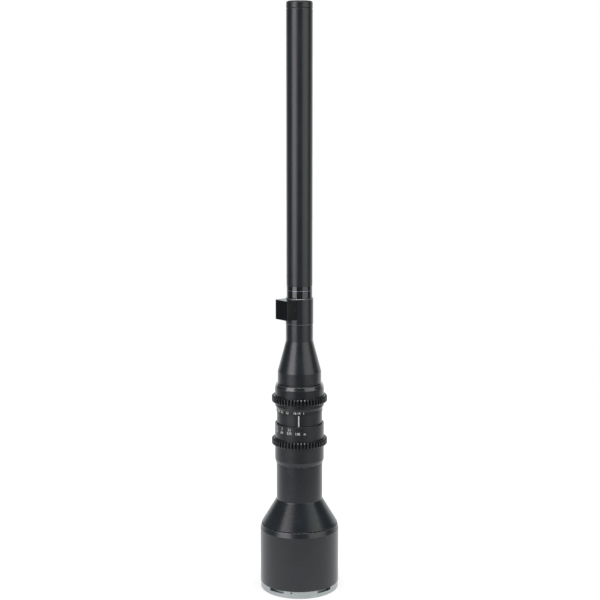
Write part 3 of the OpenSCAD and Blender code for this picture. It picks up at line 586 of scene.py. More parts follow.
class Coat(Enum):
    """The finishes of the lens. The record's material slots have theirs under their own names."""

    STEEL = TurnedMetal("turned_steel", (0.34, 0.367, 0.37), 0.42)
    BLACK_SHELL = Anodised("shell_black")
    BLACK_RING = Anodised("ring_black", (0.007, 0.0089, 0.0116), ring_pitch=0.09)
    BLACK_TUBE = Anodised("tube_black", (0.0095, 0.012, 0.0152), 0.33, shine=0.44)
    BLACK_BLOCK = Matt("block_black", (0.0036, 0.0043, 0.0055), 0.2, 0.2, 0.002, 0.26)
    GLOSS_BLACK = Polished("gloss_black", (0.006, 0.007, 0.0085), 0.05)
    BRIGHT_WASHER = TurnedMetal("polished_steel", (0.26, 0.275, 0.36), 0.28, 0.0015)
    FLAT_BLACK = Anodised("baffle_black", (0.006, 0.006, 0.006), 0.7, 0.03, 0.002, 0.9, 0.0)
    GREY_ALUMINIUM = Anodised("grey_anodised", (0.12, 0.12, 0.125), 0.4, wear=0.2)
    BRASS = TurnedMetal("turned_brass", (0.62, 0.47, 0.2), 0.3)
    SMALL_STEEL = TurnedMetal("screw_steel", (0.32, 0.32, 0.33), 0.35)
    BLADE_STEEL = Anodised("blade_black", (0.03, 0.03, 0.032), 0.4, wear=0.0)
    GLASS = CoatedGlass("coated_glass")
    BOARD = Matt("green_board", (0.02, 0.13, 0.05), 0.4, 0.4, 0.02)
    LAMP = Matt("lamp_phosphor", (0.85, 0.66, 0.12), 0.45, 0.2, 0.01)
    CLEAR_COVER = ClearCover("clear_cover")
    SEAL = Matt("seal_rubber", (0.01, 0.01, 0.01), 0.8, 0.15, 0.02)
    FLEX = Matt("lead_film", (0.42, 0.18, 0.04), 0.35, 0.5, 0.01)
    HOUSING = Anodised("housing_black", roughness=0.28, grain=0.014, ring_pitch=0.2, shine=0.46)
    BELL = Anodised("bell_black", (0.0096, 0.0121, 0.0157), 0.26, 0.008, 0.002, shine=0.44)
    COLLAR = Anodised("collar_black", wear=2.0)
    CROWN = Anodised(
        "crown_black", (0.0066, 0.0084, 0.0109), 0.25, ring_pitch=0.09, polished_above=CROWN_HEIGHT
    )
    SMOKED = Polished("smoked_lamp", (0.02, 0.02, 0.022), 0.2)
    INK = Ink("scale_white")

    @classmethod
    def of(cls, node: str) -> "Coat":
        """Finish of a CAD node's slot."""
        return cls[SLOT_OF[node].upper()]

    @property
    def material(self) -> bpy.types.Material:
        """The finish's material."""
        return material_of(self.value)


# Surfaces


class Span(NamedTuple):
    """Lowest and highest point of a CAD node, in millimetres above the seat face."""

    low: float
    high: float

    @classmethod
    def of(cls, node: str) -> "Span":
        """Read a CAD node's span."""
        low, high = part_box(node)
        return cls(round(low.z / MM, 3), round(high.z / MM, 3))


def rounded(corners: Outline) -> tuple[np.ndarray, np.ndarray]:
    """Closed outline with its corners rounded.

    Each corner becomes an arc that touches both of its sides. The arc's middle lies from the corner
    by the sum of the two sides' outward unit normals, times the radius, over one plus the cosine of
    the turn, inwards at an outer corner and outwards at an inner one. Along the arc the normal turns
    evenly from one side's to the other's. The edge value is the sine of the way along an outer arc.

    Args:
        corners: corners in anticlockwise order in the plane of radius and height.

    Returns:
        Points of the outline, and the edge value of each.
    """
    table = np.array([(*corner, SOFT)[:3] for corner in corners])
    point, soft = table[:, :2], table[:, 2]
    ahead = np.roll(point, -1, axis=0) - point
    length = np.linalg.norm(ahead, axis=1)
    leave = ahead / length[:, None]
    arrive = np.roll(leave, 1, axis=0)
    cosine = (arrive * leave).sum(axis=1)
    turn = np.arctan2(arrive[:, 0] * leave[:, 1] - arrive[:, 1] * leave[:, 0], cosine)
    side = np.sign(turn)
    room = ARC_REACH * np.minimum(length, np.roll(length, 1))
    reach = room / np.maximum(np.tan(np.abs(turn) / 2), 1e-6)
    soft = np.where(np.abs(turn) < 1e-3, 0, np.minimum(soft, reach))
    outward = (arrive + leave)[:, ::-1] * (1, -1)
    centre = point - (side * soft / np.maximum(1 + cosine, 1e-9))[:, None] * outward
    share = np.linspace(0, 1, ARC_STEPS + 1)
    angle = np.arctan2(-arrive[:, 0], arrive[:, 1])[:, None] + turn[:, None] * share
    arm = np.stack([np.cos(angle), np.sin(angle)], axis=-1) * (side * soft)[:, None, None]
    edge = np.sin(math.pi * share) * ((side > 0) & (turn > EDGE_TURN))[:, None]
    kept = (soft > 0)[:, None] | (np.arange(ARC_STEPS + 1) == 0)
    return (centre[:, None] + arm)[kept], edge[kept]


def outline_normals(outline: np.ndarray) -> np.ndarray:
    """Outward normals of a closed outline, weighted by the length of its sides.

    A side's normal is its direction turned clockwise, and a point takes the sum of its two sides.

    Args:
        outline: points of the outline, anticlockwise.

    Returns:
        Unit normals, as radius and height.
    """
    side = (np.roll(outline, -1, axis=0) - outline)[:, ::-1] * (1, -1)
    total = side + np.roll(side, 1, axis=0)
    return total / np.linalg.norm(total, axis=1, keepdims=True)


def area_normals(points: np.ndarray) -> np.ndarray:
    """Normals of a grid that is closed along both axes, weighted by the area of its faces.

    A face's normal times its area is half the cross product of its diagonals, and a vertex takes
    the sum over the faces that meet there.

    Args:
        points: grid of points, shaped rows by columns by three.

    Returns:
        Unit normals in the same shape.
    """
    above = np.roll(points, -1, axis=0)
    faces = np.cross(np.roll(above, -1, axis=1) - points, above - np.roll(points, -1, axis=1))
    total = faces + np.roll(faces, 1, axis=0)
    total = total + np.roll(total, 1, axis=1)
    return total / np.maximum(np.linalg.norm(total, axis=2, keepdims=True), 1e-20)


def grid_faces(rows: int, columns: int, closed_rows: bool) -> np.ndarray:
    """Four-sided faces of a grid that is closed along its second axis.

    Args:
        rows: number of rows.
        columns: number of columns.
        closed_rows: True where the last row joins the first.

    Returns:
        Vertex numbers of each face, outward side anticlockwise.
    """
    i, j = np.meshgrid(np.arange(rows if closed_rows else rows - 1), np.arange(columns), indexing="ij")
    i_next, j_next = (i + 1) % rows, (j + 1) % columns
    corners = (i * columns + j, i * columns + j_next, i_next * columns + j_next, i_next * columns + j)
    return np.stack(corners, axis=-1).reshape(-1, 4)


def linked(name: str, data: bpy.types.ID) -> bpy.types.Object:
    """New object of some data, linked to the scene.

    Args:
        name: its name.
        data: mesh, text, lamp or camera.

    Returns:
        The object.
    """
    made = bpy.data.objects.new(name, data)
    bpy.context.scene.collection.objects.link(made)
    return made


def mesh_object(
    name: str, points: np.ndarray, faces: np.ndarray, normals: np.ndarray | None = None
) -> bpy.types.Object:
    """Object made of a mesh in millimetres.

    Args:
        name: name of the piece.
        points: vertices in millimetres, one to a row.
        faces: vertex numbers of the faces, one face to a row.
        normals: normal of each vertex, or None for flat faces.

    Returns:
        The new object, linked to the scene.
    """
    mesh = bpy.data.meshes.new(name)
    mesh.vertices.add(len(points))
    mesh.vertices.foreach_set("co", (points * MM).astype(np.float32).ravel())
    mesh.loops.add(faces.size)
    mesh.loops.foreach_set("vertex_index", faces.astype(np.int32).ravel())
    mesh.polygons.add(len(faces))
    mesh.polygons.foreach_set("loop_start", np.arange(0, faces.size, faces.shape[1], dtype=np.int32))
    mesh.update(calc_edges=True)
    mesh.polygons.foreach_set("use_smooth", np.full(len(faces), normals is not None))
    if normals is not None:
        mesh.normals_split_custom_set_from_vertices(normals.tolist())
    return linked(name, mesh)


def turned(name: str, corners: Outline, teeth: "GearTeeth | None" = None) -> bpy.types.Object:
    """Closed ring made by turning a closed outline about the axis.

    A point stands at the outline's radius times the cosine and sine of the angle, and at the
    outline's height. Teeth draw the radius in.

    Args:
        name: name of the piece.
        corners: corners of the outline, anticlockwise, metal on the left.
        teeth: teeth of a geared ring, which then also give the angles.

    Returns:
        The new object, with the edge value of each point and how far it was sunk.
    """
    outline, edge = rounded(corners)
    angles = teeth.angles() if teeth else np.arange(ROUND_STEPS) * (2 * math.pi / ROUND_STEPS)
    radius, angle = np.meshgrid(outline[:, 0], angles, indexing="ij")
    height = np.repeat(outline[:, 1:], len(angles), axis=1)
    if teeth:
        radius = teeth.shape(radius)
    points = np.stack([radius * np.cos(angle), radius * np.sin(angle), height], axis=-1)
    across = outline_normals(outline)[:, None, :]
    arms = np.stack([np.cos(angle), np.sin(angle)], axis=-1) * across[:, :, :1]
    normals = np.concatenate([arms, np.broadcast_to(across[:, :, 1:], (*angle.shape, 1))], axis=-1)
    sunk = outline[:, :1] - radius
    if teeth:
        normals = np.where(np.abs(sunk[..., None]) > 1e-6, area_normals(points), normals)
    faces = grid_faces(len(outline), len(angles), True)
    made = mesh_object(name, points.reshape(-1, 3), faces, normals.reshape(-1, 3))
    sunk = np.abs(sunk) / np.maximum(np.ptp(sunk), 1e-6)
    for label, values in (("edge", np.repeat(edge, len(angles))), ("sunk", sunk.ravel())):
        layer = made.data.attributes.new(label, "FLOAT", "POINT")
        layer.data.foreach_set("value", values.astype(np.float32))
    return made


def wrapped(flat: np.ndarray, radius: float, angle: float, height: float) -> np.ndarray:
    """Bend flat artwork round the axis.

    A point x, y, z of the artwork goes to the given angle plus x over the radius, at the radius
    plus z from the axis and the height plus y above the seat face. Angle 0 is the front, -Y.

    Args:
        flat: points of the artwork in millimetres.
        radius: radius of the surface that it lies on.
        angle: angle of the artwork's middle in degrees, positive to the right of the front.
        height: height of its middle.

    Returns:
        The bent points.
    """
    turn = math.radians(angle) + flat[:, 0] / radius
    out = radius + flat[:, 2]
    return np.stack([out * np.sin(turn), -out * np.cos(turn), height + flat[:, 1]], axis=1)


# Sub-assemblies


class SubAssembly:
    """A group of pieces that are built and dressed together."""

    flat_angle = math.radians(0.8)
    sharp_angle = math.radians(38)

    def dress(self, piece: bpy.types.Object, node: str, coat: Coat | None = None) -> None:
        """Give a piece its finish.

        Args:
            piece: the piece.
            node: CAD node that it is or goes with.
            coat: its finish, or None for the finish of the node's slot.
        """
        piece.data.materials.clear()
        piece.data.materials.append((coat or Coat.of(node)).material)
        LOG.info("%s: %d faces, on %s", piece.name, len(piece.data.polygons), BODY_OF[node])

    def fix(self, piece: bpy.types.Object, node: str, coat: Coat | None = None) -> None:
        """Dress a new piece as above, and let it ride with the CAD node's body."""
        self.dress(piece, node, coat)
        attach(piece, BODY_OF[node])

    def place(self, piece: bpy.types.Object, node: str, coat: Coat | None = None) -> None:
        """Let a new piece stand for a CAD node, and fix it as above."""
        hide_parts(node)
        self.fix(piece, node, coat)

    def broken_copy(self, node: str, width: float, coat: Coat | None = None) -> bpy.types.Object:
        """Copy of a CAD node whose sharp edges get a small bevel.

        The copy's loose triangles are merged and its flat faces joined before the bevel.

        Args:
            node: CAD node to copy and to stand for.
            width: width of the bevel in millimetres.
            coat: its finish, or None for the finish of the node's slot.

        Returns:
            The new piece.
        """
        mesh = bpy.data.meshes.new(node + "_piece")
        work = bmesh.new()
        work.from_mesh(frame["nodes"][node].data)
        bmesh.ops.remove_doubles(work, verts=work.verts, dist=1e-6)
        bmesh.ops.dissolve_limit(work, angle_limit=self.flat_angle, verts=work.verts, edges=work.edges)
        work.to_mesh(mesh)
        work.free()
        mesh.polygons.foreach_set("use_smooth", np.ones(len(mesh.polygons), dtype=bool))
        piece = linked(mesh.name, mesh)
        bevel = piece.modifiers.new("broken_edges", "BEVEL")
        bevel.width, bevel.segments = width * MM, 3
        bevel.limit_method, bevel.angle_limit = "ANGLE", self.sharp_angle
        piece.modifiers.new("even_normals", "WEIGHTED_NORMAL").keep_sharp = False
        self.place(piece, node, coat)
        return piece


@dataclass
class CameraMount(SubAssembly):
    """Bright mount ring with its screws."""

    edge: float = 0.14
    radius: float = 28.8
    recess_radius: float = 26.8
    spread: float = 0.55

    def widen(self, ring: bpy.types.Object) -> None:
        """Move the ring's outer wall out.

        A point moves by the spread times its share of the way from the recesses' floor to the wall.

        Args:
            ring: the copy of the mount ring.
        """
        points = np.empty(len(ring.data.vertices) * 3, dtype=np.float32)
        ring.data.vertices.foreach_get("co", points)
        points = points.reshape(-1, 3)
        reach = np.hypot(points[:, 0], points[:, 1])
        share = np.clip((reach / MM - self.recess_radius) / (self.radius - self.recess_radius), 0, 1)
        points[:, :2] *= (1 + share * self.spread * MM / reach)[:, None]
        ring.data.vertices.foreach_set("co", points.ravel())
        ring.data.update()

    def build(self) -> None:
        """Build the ring and the screws from their CAD solids."""
        self.widen(self.broken_copy("mount_ring", self.edge))
        self.broken_copy("mount_screws", self.edge, Coat.SMALL_STEEL)
        self.broken_copy("grub_screw", self.edge / 2, Coat.SMALL_STEEL)


@dataclass
class RearBarrel(SubAssembly):
    """Rear housing and the bell that is screwed into it."""

    housing_radius: float = 29.65
    housing_bevel: float = 0.95
    housing_bevel_height: float = 3.8
    housing_bore: float = 27.25
    floor_radius: float = 22.94
    floor_height: float = 4.0
    bell_radius: float = 28.5
    bell_bore: float = 25.5
    bell_spigot: float = 27.21
    bell_height: float = 18.55
    neck_radius: float = 17.3
    neck_bore: float = 15.75
    guide_radius: float = 14.3
    guide_seat: float = 7.0
    lens_radius: float = 13.04
    lens_height: float = 76.05
    seat_width: float = 1.0
    cone_bore: float = 14.15
    step: float = 0.6

    def housing(self) -> Outline:
        """Outline of the housing.

        Returns:
            Its corners.
        """
        low, high = Span.of("rear_housing")
        floor = low + self.floor_height
        return [
            (self.floor_radius, low), (self.housing_radius, low, 0.15),
            (self.housing_radius, high - self.housing_bevel_height, 0.25),
            (self.housing_radius - self.housing_bevel, high, 0.35),
            (self.housing_bore, high), (self.housing_bore, floor), (self.floor_radius, floor),
        ]

    def bell(self) -> Outline:
        """Outline of the bell with its neck and seats.

        Returns:
            Its corners.
        """
        low, high = Span.of("bell")
        foot = Span.of("rear_housing").high + self.step
        neck, guide = foot + self.bell_height, high - self.guide_seat
        cone = neck - (self.neck_radius - self.cone_bore) / 2
        lip, ledge = self.lens_radius - self.seat_width, self.lens_height + self.seat_width
        return [
            (self.bell_bore, low), (self.bell_spigot, low), (self.bell_spigot, foot, 0.0),
            (self.bell_radius, foot, 0.1), (self.neck_radius, neck, 1.4), (self.neck_radius, high, 0.15),
            (self.neck_bore, high), (self.neck_bore, guide), (self.guide_radius, guide),
            (self.guide_radius, ledge), (lip, ledge), (lip, self.lens_height),
            (self.lens_radius, self.lens_height, 0.0), (self.lens_radius, cone, 0.0),
            (self.cone_bore, cone, 0.0), (self.bell_bore, foot, 0.3),
        ]

    def build(self) -> None:
        """Build the housing and the bell."""
        self.place(turned("housing_shell", self.housing()), "rear_housing", Coat.HOUSING)
        self.place(turned("bell_shell", self.bell()), "bell", Coat.BELL)


@dataclass(frozen=True)
class GearTeeth:
    """Straight teeth round a ring: tip and root radii in millimetres, and their shares of the pitch."""

    count: int = 50
    tip: float = 20.8
    root: float = 18.75
    ring: float = 18.4
    width: float = 5.0
    bevel: float = 0.7
    tip_share: float = 0.48
    root_share: float = 0.6
    tip_soft: float = 0.14
    cut_share: float = 0.3
    gap_rise: float = 0.55
    gap_steps: int = 4
    flank_steps: int = 2

    def tooth(self) -> tuple[np.ndarray, np.ndarray]:
        """Outline of one tooth as angles and as shares of the way out from ring to tip.

        The tooth is drawn in the plane of arc length at the pitch circle and radius, and divided by
        the pitch radius to give its angles. Each half goes from the middle of the gap, whose bottom
        is a quarter of an ellipse, up a straight flank and over a broken edge to the middle of the
        land.

        Returns:
            Angles from the tooth's middle in radians, and the share at each.
        """
        pitch_radius = (self.tip + self.root) / 2
        pitch = 2 * math.pi * pitch_radius / self.count
        half_tip, half_root = pitch * self.tip_share / 2, pitch * self.root_share / 2
        half_gap = pitch / 2 - half_root
        turn = np.linspace(0, math.pi / 2, self.gap_steps + 1)
        gap = [pitch / 2 - half_gap * np.sin(turn), self.root + self.gap_rise * (1 - np.cos(turn))]
        low, high = self.root + self.gap_rise, self.tip - self.tip_soft
        flank = np.linspace([half_root, low], [half_tip, high], self.flank_steps + 1)[1:]
        cut = self.cut_share * self.tip_soft
        land = [[half_tip - cut, self.tip - cut], [half_tip - self.tip_soft, self.tip], [0.0, self.tip]]
        right = np.concatenate([np.stack(gap, axis=1), flank, land])
        left = right[-2:0:-1] * (-1, 1)
        points = np.concatenate([right, left])[::-1]
        share = (points[:, 1] - self.ring) / (self.tip - self.ring)
        return points[:, 0] / pitch_radius, share

    def angles(self) -> np.ndarray:
        """Angles of all the teeth's points in radians."""
        places, _ = self.tooth()
        return (np.arange(self.count)[:, None] * (2 * math.pi / self.count) + places).ravel()

    def shape(self, radius: np.ndarray) -> np.ndarray:
        """Draw the toothed band in to its tooth outline.

        What stands past the plain ring is multiplied by the outline's share at that angle.

        Args:
            radius: radii of the turned grid, whose columns stand at the angles above.

        Returns:
            The new radii.
        """
        share = np.tile(self.tooth()[1], self.count)
        return np.where(radius > self.ring, self.ring + (radius - self.ring) * share, radius)

    def band(self, low: float) -> Outline:
        """Section of the band.

        Args:
            low: height of its lower side.

        Returns:
            Its corners, from the lower side up.
        """
        high, side = low + self.width, self.tip - self.bevel
        return [
            (self.ring, low, 0.05), (side, low, 0.1), (self.tip, low + self.bevel, 0.12),
            (self.tip, high - self.bevel, 0.12), (side, high, 0.1), (self.ring, high, 0.05),
        ]


@dataclass
class FocusGroup(SubAssembly):
    """Geared focus ring."""

    radius: float = 18.4
    foot_radius: float = 17.4
    foot_height: float = 3.1
    bore: float = 15.75
    cam_bore: float = 16.99
    cam_lip: float = 4.0
    gear_rise: float = 14.6
    teeth: GearTeeth = GearTeeth()

    def outline(self) -> Outline:
        """Outline of the ring.

        Returns:
            Its corners.
        """
        low, high = Span.of("focus_ring")
        lip = low + self.cam_lip
        return [
            (self.bore, low), (self.foot_radius, low, 0.12), (self.radius, low + self.foot_height, 0.2),
            *self.teeth.band(low + self.gear_rise),
            (self.radius, high, 0.15), (self.cam_bore, high), (self.cam_bore, lip), (self.bore, lip),
        ]

    def build(self) -> None:
        """Build the ring."""
        self.place(turned("focus_grip", self.outline(), self.teeth), "focus_ring")


@dataclass
class ApertureGroup(SubAssembly):
    """Index barrel, the matte black ring below it, which is painted shade in the gap above the focus ring,
    and the geared aperture ring.
    """

    index_radius: float = 17.0
    index_gap: float = 0.3
    index_height: float = 8.2
    sleeve_radius: float = 15.7
    sleeve_bore: float = 14.3
    guide_fit: float = 15.74
    iris_seat: float = 13.5
    # Matte black ring in the gap above the focus ring, a dark piece set there as painted shade: its radius,
    # its bore and the heights of its ends above the focus ring.
    shade_ring_radius: float = 17.2
    shade_ring_bore: float = 16.1
    shade_ring_ends: Pair = (0.03, 0.27)
    radius: float = 18.4
    bore: float = 15.75
    scale_radius: float = 17.37
    scale_height: float = 2.4
    taper_height: float = 1.7
    taper_radius: float = 17.75
    groove_radius: float = 17.6
    groove_height: float = 0.4
    gear_rise: float = 7.4
    top_radius: float = 17.45
    top_bevel_height: float = 3.4
    top_crown: float = 0.48
    top_drop: float = 0.7
    teeth: GearTeeth = GearTeeth()

    def index_outline(self) -> Outline:
        """Outline of the index barrel.

        Returns:
            Its corners.
        """
        low = Span.of("focus_ring").high + self.index_gap
        step, top = low + self.index_height, Span.of("index_barrel").high - self.top_drop
        seat, guide = Span.of("iris_base").low, Span.of("guide_barrel").high
        return [
            (self.guide_fit, low), (self.index_radius, low, 0.1), (self.index_radius, step, 0.1),
            (self.sleeve_radius, step), (self.sleeve_radius, top), (self.sleeve_bore, top),
            (self.sleeve_bore, seat), (self.iris_seat, seat), (self.iris_seat, guide),
            (self.guide_fit, guide),
        ]

    def shade_ring_outline(self) -> Outline:
        """Outline of the matte black ring that closes the gap above the focus ring, a dark piece set there
        as painted shade.

        Returns:
            Its corners.
        """
        low, high = (Span.of("focus_ring").high + rise for rise in self.shade_ring_ends)
        return [
            (self.shade_ring_bore, low), (self.shade_ring_radius, low),
            (self.shade_ring_radius, high), (self.shade_ring_bore, high),
        ]

    def ring_outline(self) -> Outline:
        """Outline of the aperture ring.

        Returns:
            Its corners.
        """
        low, high = Span.of("aperture_ring")
        taper = low + self.scale_height
        groove = taper + self.taper_height
        shoulder = groove + self.groove_height
        bevel, top = high - self.top_bevel_height, high - self.top_drop
        return [
            (self.bore, low), (self.scale_radius, low, 0.12), (self.scale_radius, taper, 0.3),
            (self.taper_radius, groove, 0.06), (self.groove_radius, groove, 0.04),
            (self.groove_radius, shoulder, 0.04), (self.radius, shoulder, 0.12),
            *self.teeth.band(low + self.gear_rise),
            (self.radius, bevel, 0.3), (self.top_radius + self.top_crown, (bevel + top) / 2, 2.5),
            (self.top_radius, top, 0.45), (self.bore, top),
        ]

    def build(self) -> None:
        """Build the index barrel, the ring of painted shade and the aperture ring."""
        self.place(turned("index_band", self.index_outline()), "index_barrel", Coat.BLACK_RING)
        # Dark rubber ring in the gap above the focus ring, put there as painted shade.
        self.fix(turned("shade_ring", self.shade_ring_outline()), "index_barrel", Coat.SEAL)
        ring = turned("aperture_grip", self.ring_outline(), self.teeth)
        self.place(ring, "aperture_ring", Coat.CROWN)


@dataclass
class FrontBarrel(SubAssembly):
    """Front barrel: a short cylinder, the long cone and the stem above it."""

    radius: float = 16.2
    height: float = 8.4
    cone_height: float = 23.1
    stem_radius: float = 10.05
    spigot: float = 14.26
    bore: float = 13.26
    lens_seat: float = 12.22
    seat_rise: float = 4.2
    socket: float = 8.3
    socket_depth: float = 6.0
    stem_bore: float = 7.76
    wall: float = 2.0
    seam: float = 0.25
    undercut: float = 0.3
    drop: float = 0.7

    def outline(self) -> Outline:
        """Outline of the barrel.

        Returns:
            Its corners.
        """
        low, high = Span.of("front_barrel")
        seat = Span.of("index_barrel").high
        foot, cone = seat - self.drop, seat + self.height
        stem, top = cone + self.cone_height, high + JOINT_LIFT
        floor, ledge = high - self.socket_depth, seat + self.seat_rise
        cut = self.radius - self.undercut
        return [
            (self.bore, low), (self.spigot, low), (self.spigot, foot, 0.0),
            (cut, foot, 0.05), (cut, foot + self.undercut, 0.05),
            (self.radius, foot + 2 * self.undercut, 0.12), (self.radius, cone, 0.5),
            (self.stem_radius, stem, 0.8), (self.stem_radius, top - self.seam, 0.05),
            (self.stem_radius - self.seam, top, 0.03), (self.socket, top), (self.socket, floor),
            (self.stem_bore, floor), (self.stem_bore, stem - self.wall),
            (self.lens_seat, cone - self.wall / 2), (self.lens_seat, ledge), (self.bore, ledge),
        ]

    def build(self) -> None:
        """Build the barrel."""
        self.place(turned("cone_shell", self.outline()), "front_barrel")


@dataclass
class PortCollar(SubAssembly):
    """Collar of the probe, with the block that holds the power socket."""

    radius: float = 10.25
    bore: float = 8.3
    spigot: float = 8.26
    spigot_bore: float = 7.72
    spigot_length: float = 6.0
    seam: float = 0.25
    top_round: float = 0.4
    block_edge: float = 0.5
    socket_edge: float = 0.08

    def outline(self) -> Outline:
        """Outline of the collar.

        Returns:
            Its corners.
        """
        foot, high = Span.of("port_collar")
        low, high = foot + self.spigot_length + JOINT_LIFT, high + JOINT_LIFT
        return [
            (self.spigot_bore, foot), (self.spigot, foot), (self.spigot, low, 0.0),
            (self.radius, low, self.seam), (self.radius, high, self.top_round),
            (self.bore, high), (self.bore, low), (self.spigot_bore, low),
        ]

    def build(self) -> None:
        """Build the collar, the block and the socket's shell."""
        self.place(turned("collar_shell", self.outline()), "port_collar", Coat.COLLAR)
        self.broken_copy("port_block", self.block_edge)
        self.broken_copy("micro_socket", self.socket_edge, Coat.SMALL_STEEL)


@dataclass
class ProbeTube(SubAssembly):
    """Glossy joint rings, bright washer, the long tube and its tip ring."""

    joint_radius: float = 9.5
    joint_bore: float = 7.34
    joint_foot: float = 8.26
    joint_depth: float = 5.04
    socket: float = 8.2
    spigot: float = 8.16
    washer_radius: float = 9.53
    radius: float = 9.58
    tip_bore: float = 8.0
    tip_round: float = 1.15
    tip_shoulder: float = 0.29
    tip_floor: float = 1.2
    cell_hole: float = 4.18
    seal_fit: float = 0.08

    def lower_joint(self) -> Outline:
        """Outline of the lower glossy ring.

        Returns:
            Its corners.
        """
        low, high = Span.of("lower_joint_ring")
        foot, top = Span.of("port_collar").high + JOINT_LIFT, high + JOINT_LIFT
        floor = high - self.joint_depth
        return [
            (self.joint_bore, low), (self.joint_foot, low), (self.joint_foot, foot, 0.0),
            (self.joint_radius, foot, 0.2), (self.joint_radius, top, 0.2),
            (self.socket, top), (self.socket, floor), (self.joint_bore, floor),
        ]

    def upper_joint(self) -> Outline:
        """Outline of the upper glossy ring.

        Returns:
            Its corners.
        """
        low, high = Span.of("upper_joint_ring")
        foot, top = Span.of("joint_washer").high + JOINT_LIFT, Span.of("probe_tube").low + JOINT_LIFT
        return [
            (self.joint_bore, low), (self.spigot, low), (self.spigot, foot, 0.0),
            (self.joint_radius, foot, 0.2), (self.joint_radius, top, 0.2),
            (self.spigot, top, 0.0), (self.spigot, high), (self.joint_bore, high),
        ]

    def sleeve(self, node: str, radius: float, soft: float, rise: float = 0.0) -> Outline:
        """Outline of a plain tube, whose lower end takes the joint's lift.

        Args:
            node: CAD node that gives its heights.
            radius: its outer radius.
            soft: rounding of its outer edges.
            rise: how much higher than the node's its upper end is.

        Returns:
            Its corners.
        """
        low, high = Span.of(node).low + JOINT_LIFT, Span.of(node).high + rise
        return [
            (self.socket, low, 0.04), (radius, low, soft), (radius, high, soft), (self.socket, high, 0.04)
        ]

    def tip(self) -> Outline:
        """Outline of the tip ring.

        Returns:
            Its corners.
        """
        low, high = Span.of("tip_ring")
        foot = Span.of("tip_seal").high
        floor, seat = foot + self.tip_floor, foot - self.seal_fit
        inset = self.tip_shoulder * self.tip_round
        return [
            (self.joint_bore, low), (self.spigot, low), (self.spigot, foot, 0.0),
            (self.radius, foot, 0.08), (self.radius, high - self.tip_round, 0.5),
            (self.radius - inset, high - inset, 0.5), (self.radius - self.tip_round, high, 0.3),
            (self.tip_bore, high, 0.06), (self.tip_bore, floor), (self.cell_hole, floor),
            (self.cell_hole, seat), (self.joint_bore, seat),
        ]

    def build(self) -> None:
        """Build the rings and the tube."""
        washer = self.sleeve("joint_washer", self.washer_radius, 0.08, JOINT_LIFT)
        tube = self.sleeve("probe_tube", self.radius, 0.15)
        self.place(turned("joint_lower", self.lower_joint()), "lower_joint_ring")
        self.place(turned("washer_band", washer), "joint_washer")
        self.place(turned("joint_upper", self.upper_joint()), "upper_joint_ring")
        self.place(turned("tube_shell", tube), "probe_tube")
        self.place(turned("tip_shell", self.tip()), "tip_ring")


class Row(NamedTuple):
    """A row of numbers on a ring: its numbers, each with its angle in degrees to the right of the
    front, the ring's radius, the row's rise above the ring's lower end and the digits' height."""

    node: str
    marks: dict[str, float]
    radius: float
    rise: float
    digit: float


ROWS = {
    "focus_metres": Row(
        "focus_ring",
        {"m": 12.3, "1.00": -4.3, "0.75": -24.4, "0.6": -45.2, "0.5": -64.7, "0.4": -85.0,
         "0.35": -105.0, "0.3": -124.0, "0.28": -142.0},
        18.4, 26.05, 1.85,
    ),
    "focus_feet": Row(
        "focus_ring",
        {"2.5": -24.3, "2": -44.5, "1.6": -66.3, "1.3": -85.0, "1.15": -105.0, "1": -124.0, "0.9": -142.0},
        18.4, 28.9, 1.85,
    ),
    "aperture_stops": Row(
        "aperture_ring",
        {"T": 10.2, "14": -1.6, "16": -11.7, "22": -31.4, "32": -48.0, "40": -60.5},
        17.37, 1.75, 2.05,
    ),
}


